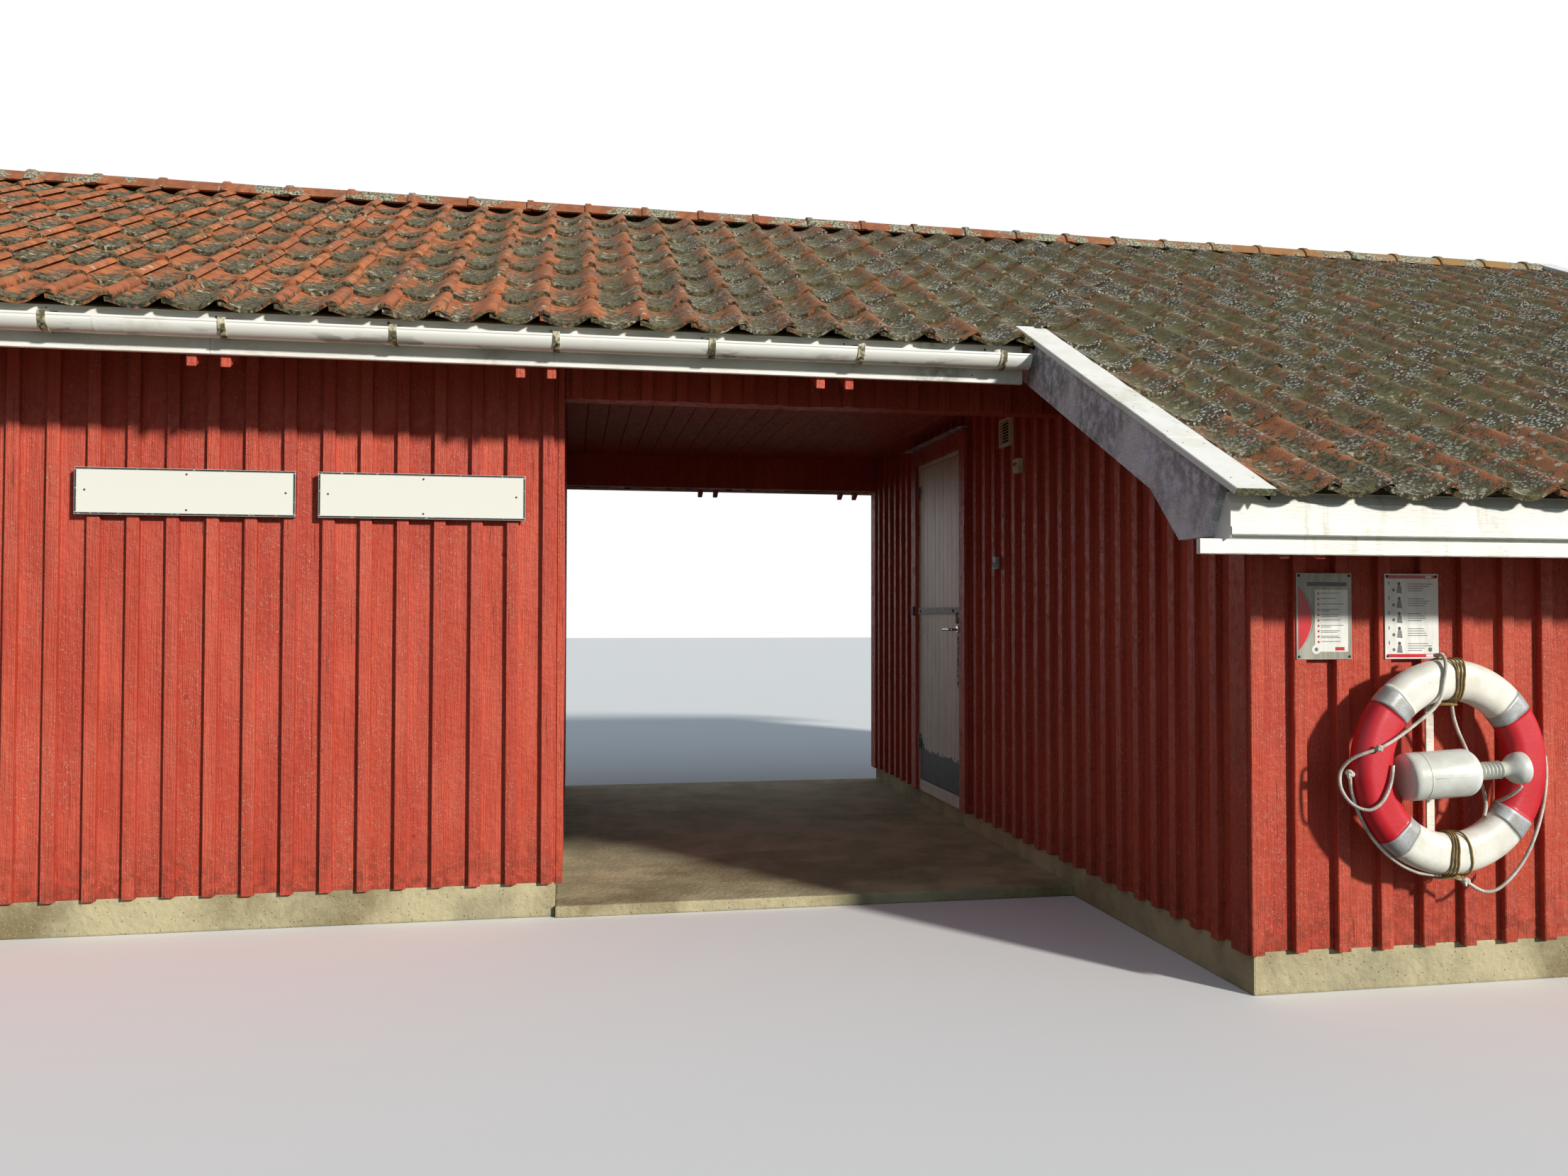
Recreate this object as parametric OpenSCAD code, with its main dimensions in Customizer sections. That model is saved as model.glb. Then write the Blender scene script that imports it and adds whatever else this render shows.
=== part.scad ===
// Timber boathouse: two closed sections under one tiled gable roof,
// with an open passage between them. The right section stands out
// to the front, so the front slope of its roof runs further down.
// X runs along the front, Y towards the back, Z up; the origin is
// at ground level, below the middle of the whole building.

/* [Plan] */
// Clear width of the passage between the two sections
passage_w = 2300; // [2000:10:2800]
// Width of the left section
left_w = 4000; // [3200:10:5000]
// Width of the right section
right_w = 4000; // [3200:10:5000]
// Depth of the left section over its walls
left_d = 3650; // [3200:10:4400]
// How far the right section stands out before the left one
step_d = 1500; // [1200:10:1700]

/* [Walls] */
// Thickness of a clad timber wall
wall_t = 140; // [120:5:180]
// Height of the concrete plinth above the ground
plinth_h = 150; // [120:5:220]
// Thickness of the plinth wall
plinth_t = 150; // [120:5:200]
// How far the cladding stands out past the plinth
plinth_inset = 30; // [10:5:50]
// Thickness of the passage slab
slab_t = 50; // [40:5:90]
// Thickness of the floor slab in the right section
floor_t = 100; // [80:5:110]
// Height of the underside of the beam over the passage front
lintel_z = 2240; // [2200:5:2300]
// Height of the underside of the beam over the passage back
rear_lintel_z = 2235; // [2200:5:2330]
// Thickness of the boarded passage ceiling
ceiling_t = 20; // [15:1:30]

/* [Roof] */
// Pitch of both slopes in degrees
pitch = 27.2; // [24:0.1:29]
// Height of the rafters' underside at the left front wall
plate_z = 2465; // [2440:5:2600]
// Depth of a rafter, square to the slope
rafter_d = 148; // [120:1:170]
// Thickness of a rafter board
rafter_t = 36; // [30:1:48]
// Distance between the two boards of a rafter pair
rafter_pair = 120; // [100:5:140]
// Distance between rafter pairs
truss_gap = 1200; // [1150:10:1250]
// Place of the last left rafter pair, from the middle of the passage
truss_x = -60; // [-100:5:0]
// How far the first right rafter pair stands before the passage's right wall
truss_side = 84; // [80:2:110]
// How far the rafters reach out past the left front wall and the back
tail_over = 470; // [420:5:520]
// How far the rafters reach out past the right front wall
tail_over_right = 435; // [400:5:480]
// Thickness of roof boards and battens together
deck_t = 44; // [38:1:60]
// Thickness of the tile layer, up to the tops of the rolls
tile_t = 58; // [50:1:70]
// Thickness of the tile layer in the troughs between the rolls
trough_t = 26; // [20:1:34]
// Distance between the rolls, the width that one tile covers
tile_w = 193.5; // [180:0.5:220]
// Place of one roll, from the middle of the passage
roll_x = 120.5; // [0:0.5:190]
// How far the tiles reach past the rafter ends over the gutter
tile_lip = 75; // [70:1:90]
// How far the tiles reach past the rafter ends where no gutter hangs
tile_lip_bare = 105; // [90:1:115]
// Outer radius of the half-round ridge tiles
ridge_r = 100; // [95:1:115]
// Wall thickness of the ridge tiles
ridge_t = 16; // [12:1:20]
// How far the ridge tiles rise above the tiles at the ridge
ridge_rise = 24; // [18:1:30]
// How far the roof stands out past the end walls
verge_over = 330; // [300:5:380]
// How far the right roof stands out past the passage wall at the step
step_over = 375; // [350:5:400]
// Distance between the foot of the step's filler board and its lower end
filler_foot = 250; // [230:5:270]
// Distance between the head of the step's filler board and its lower end
filler_head = 435; // [400:5:460]

/* [Boards] */
// Thickness of a barge board
barge_t = 28; // [22:1:34]
// Depth of a barge board, square to the slope
barge_d = 190; // [175:5:215]
// Width of the cover board on top of a barge board
cover_w = 140; // [120:5:160]
// Depth of the step's barge board, square to the slope
step_barge_d = 176; // [165:1:190]
// Width of the step's cover board
step_cover_w = 130; // [115:5:150]
// How far the step's cover board is packed up off the roof boards
step_packing = 26; // [20:1:32]
// How far the step's cover board reaches out past its barge board
step_cover_out = 140; // [120:5:150]
// Thickness of the cover board
cover_t = 22; // [18:1:28]
// How far a cover board overhangs its barge board
cover_lip = 10; // [5:1:15]
// How far in front of the left wall line the step's cover board ends
cover_run = 355; // [320:5:400]
// Thickness of a fascia board
fascia_t = 22; // [18:1:26]
// How much of the rafter ends shows below the left fascia
tail_show = 45; // [30:1:60]
// How much of the rafter ends shows below the right eave board
tail_show_right = 12; // [8:1:30]
// Height of the narrow board under the right fascia
eave_board_h = 46; // [40:1:60]
// Gap between that board and the fascia above it
eave_board_gap = 10; // [4:1:14]
// Thickness of the front layer of the right fascia
fascia_front_t = 26; // [20:1:30]
// Height of that front layer
fascia_front_h = 100; // [80:1:115]
// How far the narrow eave board reaches out past the step's barge board
eave_board_out = 60; // [40:5:80]
// How far the left fascia stops short of the step's barge board
fascia_stop = 34; // [30:2:50]

/* [Gutter] */
// Inner radius of the half-round gutter
gutter_r = 50; // [45:1:58]
// Wall thickness of the gutter
gutter_t = 3; // [2:0.5:4]
// Height of the gutter's rim above the bottom of the fascia
gutter_rise = 100; // [92:1:112]
// Distance between gutter brackets
bracket_gap = 600; // [550:10:650]
// Place of the last bracket, from the middle of the passage
bracket_x = 620; // [600:5:650]
// Width of a bracket strap
bracket_w = 26; // [20:1:30]
// Thickness of a bracket strap
bracket_t = 4; // [3:0.5:5]

/* [Door] */
// Width of the door frame over its posts
frame_w = 890; // [850:5:950]
// Height of the door frame
frame_h = 2090; // [2050:5:2120]
// Distance from the middle of the frame to the front of the right section
door_y = 3440; // [3300:10:3600]
// Height of the sill block below the frame
sill_h = 45; // [40:1:60]
// Depth of the frame into the wall
frame_d = 105; // [90:5:115]
// Thickness of the frame beside the leaf
frame_t = 27.5; // [24:0.5:32]
// How far the stop inside the frame stands out behind the leaf
stop_w = 14; // [12:1:18]
// Thickness of the door leaf
leaf_t = 40; // [36:1:44]
// Gap round the door leaf
leaf_gap = 5; // [5:0.5:7]
// Width of the boards round the door
trim_w = 100; // [80:5:110]
// Thickness of the boards round the door
trim_t = 22; // [18:1:26]
// How far the drip board over the door stands out
drip_d = 72; // [60:1:90]
// Thickness of the drip board
drip_t = 20; // [16:1:25]
// Distance of the hinges from the top and bottom of the leaf
hinge_inset = 200; // [150:10:300]
// Radius of a hinge barrel
hinge_r = 7; // [6:0.5:8]
// Length of half a hinge barrel
hinge_l = 45; // [40:1:55]
// Height of the lever above the bottom of the leaf
lever_h = 985; // [950:5:1050]
// Height of the locking bar above the bottom of the leaf
bar_h = 1098; // [1080:5:1150]

/* [Wall fittings] */
// Width of the ventilation grille
vent_w = 158; // [150:1:180]
// Height of the ventilation grille
vent_h = 148; // [140:1:170]
// How far the grille stands out
vent_d = 22; // [18:1:30]
// Distance of the grille's middle from the right section's front
vent_y = 2246; // [2200:1:2300]
// Height of the grille's lower edge
vent_z = 2190; // [2150:5:2200]
// Width of the socket box
socket_w = 70; // [60:1:90]
// Height of the socket box
socket_h = 74; // [65:1:90]
// How far the socket box stands out
socket_d = 32; // [28:1:45]
// Distance of the socket's middle from the right section's front
socket_y = 2070; // [2050:1:2100]
// Height of the socket's lower edge
socket_z = 2028; // [2000:1:2060]
// Width of the key box
key_w = 44; // [35:1:55]
// Height of the key box
key_h = 66; // [60:1:80]
// How far the key box stands out
key_d = 26; // [20:1:32]
// Distance of the key box's middle from the right section's front
key_y = 2400; // [2360:1:2440]
// Height of the key box's lower edge
key_z = 1547; // [1500:1:1600]
// Width of a name board
sign_w = 840; // [800:5:880]
// Height of a name board
sign_h = 190; // [170:5:200]
// Distance of the name boards from the passage
sign_inset = 164; // [120:2:200]
// Distance between the two name boards
sign_gap = 90; // [60:5:120]
// Thickness of a name board
sign_t = 22; // [18:1:28]
// Height of the top edge of the name boards
sign_top = 1890; // [1850:5:1950]
// Width of a notice sheet
notice_w = 210; // [200:1:220]
// Height of a notice sheet
notice_h = 297; // [280:1:300]
// Thickness of a notice sheet
notice_t = 4; // [3:1:6]
// Height of the top edge of the notices
notice_top = 1446; // [1400:2:1460]

/* [Lifebuoy] */
// Outer diameter of the lifebuoy
buoy_d = 730; // [700:5:760]
// Radial width of its body
buoy_w = 140; // [120:2:150]
// Thickness of its body from front to back
buoy_t = 95; // [80:1:110]
// Height of its middle
buoy_z = 786; // [760:2:820]
// Place of its middle, from the passage side of the right section
buoy_x = 677; // [660:5:720]
// Distance of its back from the wall
buoy_off = 60; // [50:1:80]

/* [Hidden] */
$fn = 64;

// Colours of the real finishes
red_paint = "#b5483c";
dark_red = "#4a1c1c";
white_paint = "#e8e6df";
concrete = "#b9b09a";
clay = "#a8623f";
steel = "#8b8d8c";

// Main lines of the plan
half_p = passage_w / 2;
left_x = -half_p - left_w;
right_x = half_p + right_w;
right_d = left_d + step_d;
front_y = -right_d / 2;
back_y = right_d / 2;
step_y = front_y + step_d;
ridge_y = (step_y + back_y) / 2;

// Vertical thicknesses of the sloping layers
slope = tan(pitch);
rafter_v = rafter_d / cos(pitch);
deck_v = deck_t / cos(pitch);
tile_v = tile_t / cos(pitch);
trough_v = trough_t / cos(pitch);
barge_v = barge_d / cos(pitch);
step_barge_v = step_barge_d / cos(pitch);
cover_v = cover_t / cos(pitch);

// Lines of the eaves and verges
left_tail_y = step_y - tail_over;
right_tail_y = front_y - tail_over_right;
back_tail_y = back_y + tail_over;
step_barge_x = half_p - step_over;
left_barge_x = left_x - verge_over;
right_barge_x = right_x + verge_over;
cover_top_y = step_y - cover_run;
fascia_z = under_z(left_tail_y) + tail_show;

// Clearance between layers that lie on each other
seat = 0.3;

// Height of the rafters' underside, of the roof boards' underside, of the
// tiles' underside and of the tops of their rolls over a place
deck_lift = rafter_v + seat;
tile_lift = deck_lift + deck_v + seat;
function under_z(y) = plate_z + (min(y, 2 * ridge_y - y) - step_y) * slope;
function boards_z(y) = under_z(y) + rafter_v;
function tiles_z(y) = under_z(y) + tile_lift;
function top_z(y) = tiles_z(y) + tile_v;

// A prism along X whose section is drawn in Y and Z
module prism(x0, x1, section) {
    translate([x0, 0, 0]) rotate([90, 0, 90]) linear_extrude(x1 - x0) polygon(section);
}

module block(x0, x1, y0, y1, z0, z1) {
    translate([x0, y0, z0]) cube([x1 - x0, y1 - y0, z1 - z0]);
}

// A layer that follows one slope or both, h(y) below and v thick
module layer(x0, x1, y0, y1, lift, v) {
    mid = ridge_y > y0 && ridge_y < y1 ? [ridge_y] : [];
    low = [for (y = concat([y0], mid, [y1])) [y, under_z(y) + lift]];
    high = [for (y = concat([y1], mid, [y0])) [y, under_z(y) + lift + v]];
    prism(x0, x1, concat(low, high));
}

// Rafter pairs over the whole building
truss_right = half_p - truss_side;
left_count = floor((truss_x - rafter_pair - left_x - wall_t) / truss_gap);
right_count = floor((right_x - wall_t - rafter_pair - truss_right) / truss_gap);
truss_xs = concat([for (i = [0:left_count]) truss_x - i * truss_gap],
    [for (i = [0:right_count]) truss_right + i * truss_gap]);
board_xs = [for (x = truss_xs, s = [-1, 1]) x + s * rafter_pair / 2];

// A rafter board that would stand inside a passage wall is only a tail
function in_wall(x) = abs(abs(x) - half_p - wall_t / 2) < (wall_t + rafter_t) / 2;
function tail_y(x) = x > step_barge_x ? right_tail_y : left_tail_y;
function face_y(x) = x > half_p ? front_y : step_y;

module rafter_board(x, y0, y1) {
    layer(x - rafter_t / 2, x + rafter_t / 2, y0, y1, 0, rafter_v);
}

module rafters_front() {
    color(red_paint) for (x = board_xs)
        rafter_board(x, tail_y(x), in_wall(x) ? face_y(x) : ridge_y);
}

module rafters_rear() {
    color(red_paint) for (x = board_xs)
        rafter_board(x, in_wall(x) ? back_y : ridge_y, back_tail_y);
}

// A wall under the eaves, up to the roof boards and notched for the rafters
slot_fit = 1;
module eave_wall(x0, x1, y0, z0) {
    y1 = y0 + wall_t;
    difference() {
        prism(x0, x1, [[y0, z0], [y1, z0], [y1, boards_z(y1)], [y0, boards_z(y0)]]);
        for (x = board_xs)
            if (!in_wall(x) && x > x0 && x < x1)
                layer(x - rafter_t / 2 - slot_fit, x + rafter_t / 2 + slot_fit,
                    right_tail_y, back_tail_y, -seat, rafter_v + 2 * seat);
    }
}

// A wall under the slopes, square to the ridge
module cross_wall(x0, x1, y0, y1, z0) {
    mid = ridge_y > y0 && ridge_y < y1 ? [ridge_y] : [];
    top = [for (y = concat([y1], mid, [y0])) [y, boards_z(y)]];
    prism(x0, x1, concat([[y0, z0], [y1, z0]], top));
}

// A plinth, hollow below its floor or right through
module plinth(x0, x1, y0, y1, hollow_h) {
    color(concrete) difference() {
        block(x0, x1, y0, y1, 0, plinth_h);
        block(x0 + plinth_t, x1 - plinth_t, y0 + plinth_t, y1 - plinth_t, -1, hollow_h);
    }
}

plinth_back = back_y - plinth_inset;
module left_plinth() {
    plinth(left_x + plinth_inset, -half_p - plinth_inset, step_y + plinth_inset, plinth_back,
        plinth_h + 1);
}

module right_plinth() {
    plinth(half_p + plinth_inset, right_x - plinth_inset, front_y + plinth_inset, plinth_back,
        plinth_h - floor_t);
}

module passage_slab() {
    edge = half_p + plinth_inset;
    color(concrete) block(-edge, edge, step_y, back_y, 0, slab_t);
}

module left_front_wall() {
    color(red_paint) eave_wall(left_x, -half_p, step_y, plinth_h);
}

module left_rear_wall() {
    color(red_paint) eave_wall(left_x, -half_p, back_y - wall_t, plinth_h);
}

module left_gable_wall() {
    color(red_paint)
        cross_wall(left_x, left_x + wall_t, step_y + wall_t, back_y - wall_t, plinth_h);
}

module left_passage_wall() {
    color(red_paint)
        cross_wall(-half_p - wall_t, -half_p, step_y + wall_t, back_y - wall_t, plinth_h);
}

module right_front_wall() {
    color(red_paint) eave_wall(half_p, right_x, front_y, plinth_h);
}

module right_rear_wall() {
    color(red_paint) eave_wall(half_p, right_x, back_y - wall_t, plinth_h);
}

module right_gable_wall() {
    color(red_paint)
        cross_wall(right_x - wall_t, right_x, front_y + wall_t, back_y - wall_t, plinth_h);
}

// The doorway in the passage wall of the right section
door_mid = front_y + door_y;
way_y0 = door_mid - frame_w / 2;
way_y1 = door_mid + frame_w / 2;
way_z0 = plinth_h + sill_h;
way_z1 = way_z0 + frame_h;

module side_wall_front() {
    color(red_paint) cross_wall(half_p, half_p + wall_t, front_y + wall_t, way_y0, plinth_h);
}

module side_wall_rear() {
    color(red_paint) cross_wall(half_p, half_p + wall_t, way_y1, back_y - wall_t, plinth_h);
}

module side_wall_over_door() {
    color(red_paint) cross_wall(half_p, half_p + wall_t, way_y0, way_y1, way_z1);
}

module front_lintel() {
    color(dark_red) eave_wall(-half_p, half_p, step_y, lintel_z);
}

module rear_lintel() {
    color(dark_red) eave_wall(-half_p, half_p, back_y - wall_t, rear_lintel_z);
}

module passage_ceiling() {
    color(dark_red) block(-half_p, half_p, step_y + wall_t, back_y - wall_t,
        plate_z, plate_z + ceiling_t);
}

// Roof boards run between the inner faces of the barge boards
module roof_deck_front() {
    x0 = left_barge_x + barge_t + seat;
    x1 = right_barge_x - barge_t - seat;
    notch = step_barge_x + barge_t + seat;
    color("#9a7a55") {
        layer(x0, step_barge_x - seat, left_tail_y, ridge_y, deck_lift, deck_v);
        layer(step_barge_x - seat, notch, cover_top_y + seat, ridge_y, deck_lift, deck_v);
        layer(notch, x1, right_tail_y, ridge_y, deck_lift, deck_v);
    }
}

module roof_deck_rear() {
    color("#9a7a55") layer(left_barge_x + barge_t + seat, right_barge_x - barge_t - seat,
        ridge_y, back_tail_y, deck_lift, deck_v);
}

// A tile layer on one slope: rolls that stand up from the troughs and run
// from the ridge to the eaves; side is 1 in front and -1 behind
roll_rise = 80;
roll_crown = 14;
roll_lip = 28;
roll_foot = 42;
module tile_layer(x0, x1, y0, y1, side) {
    first = floor((x0 - roll_x - roll_foot) / tile_w);
    last = ceil((x1 - roll_x + roll_rise) / tile_w);
    lip_v = (tile_v + trough_v) / 2;
    z = under_z(ridge_y) + tile_lift;
    multmatrix([[1, 0, 0, 0], [0, 1, 0, ridge_y], [0, side * slope, 1, z]])
        translate([0, y1 - ridge_y, 0]) rotate([90, 0, 0]) linear_extrude(y1 - y0)
            intersection() {
                translate([x0, 0]) square([x1 - x0, tile_v]);
                union() {
                    translate([x0, 0]) square([x1 - x0, trough_v]);
                    for (i = [first:last]) translate([roll_x + i * tile_w, 0])
                        polygon([[-roll_rise, 0], [-roll_rise, trough_v], [-roll_crown, tile_v],
                            [roll_crown, tile_v], [roll_lip, lip_v], [roll_foot, trough_v],
                            [roll_foot, 0]]);
                }
            }
}

step_tile_x = step_barge_x - cover_lip;
module tiles_front_left() {
    color(clay) tile_layer(left_barge_x + barge_t + seat, step_tile_x - seat,
        left_tail_y - tile_lip, ridge_y, 1);
}

module tiles_front_right() {
    beside = step_tile_x + step_cover_w + seat;
    color(clay) {
        tile_layer(step_tile_x, beside, cover_top_y + seat, ridge_y, 1);
        tile_layer(beside, right_barge_x - barge_t - seat, right_tail_y - tile_lip_bare,
            ridge_y, 1);
    }
}

module tiles_rear() {
    color(clay) tile_layer(left_barge_x + barge_t + seat, right_barge_x - barge_t - seat,
        ridge_y, back_tail_y + tile_lip_bare, -1);
}

// Half-round ridge tiles, cut to sit on the rolls of both slopes
module ridge_tiles() {
    inset = cover_w - cover_lip;
    peak = top_z(ridge_y);
    x0 = left_barge_x + inset;
    x1 = right_barge_x - inset;
    foot = peak - 2 * ridge_r * slope;
    color(clay) translate([x0, 0, 0]) rotate([90, 0, 90]) linear_extrude(x1 - x0) difference() {
        translate([ridge_y, peak + ridge_rise - ridge_r]) circle(ridge_r);
        translate([ridge_y, peak + ridge_rise - ridge_r]) circle(ridge_r - ridge_t);
        polygon([[ridge_y, peak + seat], [ridge_y + 2 * ridge_r, foot + seat],
            [ridge_y + 2 * ridge_r, foot - 2 * ridge_r],
            [ridge_y - 2 * ridge_r, foot - 2 * ridge_r], [ridge_y - 2 * ridge_r, foot + seat]]);
    }
}

// Fascia boards stand against the rafter ends, under the tiles
module left_fascia() {
    y0 = left_tail_y - fascia_t;
    color(white_paint) block(left_barge_x, step_barge_x - fascia_stop, y0, left_tail_y,
        fascia_z, tiles_z(y0));
}

module rear_fascia() {
    y1 = back_tail_y + fascia_t;
    color(white_paint) block(left_barge_x, right_barge_x, back_tail_y, y1,
        fascia_z, tiles_z(y1));
}

eave_board_z = under_z(right_tail_y) + tail_show_right;
module right_fascia() {
    z0 = eave_board_z;
    z1 = z0 + eave_board_h;
    z2 = z1 + eave_board_gap;
    y0 = right_tail_y - fascia_t;
    y1 = y0 - fascia_front_t;
    x0 = step_barge_x + barge_t;
    color(white_paint) {
        block(step_barge_x - eave_board_out, right_barge_x, y0, right_tail_y, z0, z1);
        block(x0, right_barge_x, y0, right_tail_y, z1, tiles_z(y0));
        block(x0, right_barge_x, y1, y0, z2, z2 + fascia_front_h);
    }
}

// Half-round gutter with end caps, held by straps screwed to the fascia
gutter_fit = 0.3;
gutter_out = gutter_r + gutter_t;
gutter_x0 = left_barge_x + cover_lip;
gutter_x1 = step_barge_x - fascia_stop;
gutter_y = left_tail_y - fascia_t - gutter_out - gutter_fit - bracket_t;
gutter_z = fascia_z + gutter_rise;

module half_disc(r) {
    intersection() {
        circle(r);
        translate([-2 * r, -2 * r]) square([4 * r, 2 * r]);
    }
}

module along_gutter(x, w) {
    translate([x, gutter_y, gutter_z]) rotate([90, 0, 90]) linear_extrude(w) children();
}

module gutter() {
    color(white_paint) {
        along_gutter(gutter_x0, gutter_x1 - gutter_x0) difference() {
            half_disc(gutter_out);
            circle(gutter_r);
        }
        along_gutter(gutter_x0, gutter_t) half_disc(gutter_out);
        along_gutter(gutter_x1 - gutter_t, gutter_t) half_disc(gutter_out);
    }
}

module gutter_brackets() {
    inner = gutter_out + gutter_fit;
    count = floor((bracket_x - gutter_x0 - bracket_w) / bracket_gap);
    plate_h = 38;
    color(steel) for (i = [0:count])
        along_gutter(bracket_x - i * bracket_gap - bracket_w / 2, bracket_w) {
            difference() {
                half_disc(inner + bracket_t);
                circle(inner);
            }
            translate([inner, -bracket_t]) square([bracket_t, plate_h]);
        }
}

// The step's barge board with the triangular board that fills its foot,
// and the flat cover board on top of it
module step_verge_boards() {
    function edge_z(y) = tiles_z(y) + step_packing;
    function top_edge(y) = [y, edge_z(y) + cover_v / 2];
    function low_edge(y) = [y, edge_z(y) - step_barge_v];
    y0 = right_tail_y - tile_lip_bare + step_cover_out / 2;
    cut = step_barge_d * sin(pitch);
    foot = eave_board_z + eave_board_h + eave_board_gap;
    section = [top_edge(y0), low_edge(y0 + cut), [y0 + cut, foot], [y0 + filler_foot, foot],
        low_edge(y0 + filler_head), low_edge(cover_top_y), top_edge(cover_top_y)];
    x0 = step_barge_x - cover_lip;
    color(white_paint) {
        prism(step_barge_x, step_barge_x + barge_t, section);
        layer(x0, x0 + step_cover_w, right_tail_y - step_cover_out, cover_top_y,
            tile_lift + step_packing, cover_v);
    }
}

// Barge boards of an end wall, with a cover board over the tile edge
module verge(x, side, y0) {
    x1 = x - side * barge_t;
    c0 = x + side * cover_lip;
    c1 = c0 - side * cover_w;
    top = tile_lift + tile_v + seat;
    depth = barge_v + tile_v;
    color(white_paint) {
        layer(min(x, x1), max(x, x1), y0, back_tail_y, top - depth, depth + cover_v);
        layer(min(c0, c1), max(c0, c1), y0, back_tail_y, top, cover_v);
    }
}

module left_verge_boards() {
    verge(left_barge_x, -1, left_tail_y);
}

module right_verge_boards() {
    verge(right_barge_x, 1, right_tail_y);
}

// Door: frame, leaf hung on the far post, lever and locking bar
leaf_x = half_p + 2;
swing_gap = 2;
leaf_y0 = way_y0 + frame_t + leaf_gap + swing_gap;
leaf_y1 = way_y1 - frame_t - leaf_gap;
leaf_z0 = way_z0 + frame_t + leaf_gap;
leaf_z1 = way_z1 - frame_t - leaf_gap;
hinge_x = half_p - hinge_r - 1;
hinge_y = leaf_y1 + leaf_gap / 2;
hinge_plate = 4;
pin_gap = 0.3;
hinge_zs = [leaf_z0 + hinge_inset, leaf_z1 - hinge_inset];

module door_frame() {
    stop_x = leaf_x + leaf_t + leaf_gap;
    inner = frame_t + stop_w;
    color(white_paint) {
        difference() {
            block(half_p, half_p + frame_d, way_y0, way_y1, way_z0, way_z1);
            block(half_p - 1, stop_x, way_y0 + frame_t, way_y1 - frame_t,
                way_z0 + frame_t, way_z1 - frame_t);
            block(half_p, half_p + frame_d + 1, way_y0 + inner, way_y1 - inner,
                way_z0 + frame_t, way_z1 - inner);
        }
        block(half_p, half_p + wall_t, way_y0, way_y1, plinth_h, way_z0);
    }
    color(steel) for (z = hinge_zs) {
        translate([hinge_x, hinge_y, z]) cylinder(h = hinge_l, r = hinge_r);
        block(half_p - hinge_plate, half_p, hinge_y, way_y1, z, z + hinge_l);
    }
}

module door_leaf() {
    color(white_paint) block(leaf_x, leaf_x + leaf_t, leaf_y0, leaf_y1, leaf_z0, leaf_z1);
    color(steel) for (z = hinge_zs) {
        top = z + hinge_l + pin_gap;
        translate([hinge_x, hinge_y, top]) cylinder(h = hinge_l, r = hinge_r);
        block(half_p - hinge_plate, leaf_x, leaf_y1 - 30, hinge_y, top, top + hinge_l);
    }
}

lever_y = leaf_y0 + 45;
lever_z = leaf_z0 + lever_h;
module door_lever() {
    grip = 128;
    out = 52;
    color(steel) translate([leaf_x, lever_y, lever_z]) {
        rotate([0, -90, 0]) cylinder(h = out, r = 9);
        translate([-out, 0, 0]) rotate([-90, 0, 0]) cylinder(h = grip, r = 9);
        translate([-out, 0, 0]) sphere(9);
    }
}

// Flat locking bar on two legs, with a padlock below its free end
bar_z = leaf_z0 + bar_h;
bar_t = 6;
bar_off = 12;
module door_bar() {
    bar_w = 40;
    x1 = leaf_x - bar_off;
    lock_y = leaf_y0 + 6;
    lock_z = bar_z - bar_w / 2 - 22;
    color(steel) {
        block(x1 - bar_t, x1, leaf_y0 - 24, leaf_y1 - 18, bar_z - bar_w / 2, bar_z + bar_w / 2);
        for (y = [leaf_y0 + 90, leaf_y1 - 60])
            translate([x1, y, bar_z]) rotate([0, 90, 0]) cylinder(h = bar_off, r = 10);
        block(x1 - 14, x1 + 6, lock_y - 20, lock_y + 20, lock_z - 36, lock_z);
        for (y = [lock_y - 12, lock_y + 12])
            translate([x1 - bar_t / 2, y, lock_z]) cylinder(h = 30, r = 3);
    }
}

module door_trim() {
    x0 = half_p - trim_t;
    z1 = way_z1 + trim_w;
    y0 = way_y0 - trim_w;
    y1 = way_y1 + trim_w;
    color(dark_red) {
        block(x0, half_p, y0, way_y0, plinth_h, z1);
        block(x0, half_p, way_y1, y1, plinth_h, z1);
        block(x0, half_p, way_y0, way_y1, way_z1, z1);
    }
    color(white_paint)
        block(half_p - drip_d, half_p, y0 - 15, y1 + 15, z1, z1 + drip_t);
    color(steel)
        block(x0 - 12, x0, way_y1 + 14, way_y1 + 74, bar_z - 30, bar_z + 30);
}

// Louvred grille on the passage wall
module vent_grille() {
    rim = 14;
    slats = 8;
    back = vent_d - 4;
    inner_w = vent_w - 2 * rim;
    inner_h = vent_h - 2 * rim;
    gap = inner_h / slats;
    color("#d9d0b0") translate([half_p - vent_d, front_y + vent_y - vent_w / 2, vent_z]) {
        difference() {
            cube([vent_d, vent_w, vent_h]);
            translate([-1, rim, rim]) cube([back + 1, inner_w, inner_h]);
        }
        for (i = [0:slats - 1])
            translate([0, rim, rim + i * gap]) rotate([90, 0, 0]) mirror([0, 0, 1])
                linear_extrude(inner_w)
                    polygon([[2, 0.15 * gap], [back, 0.6 * gap], [back, 0.8 * gap],
                        [2, 0.35 * gap]]);
    }
}

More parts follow.
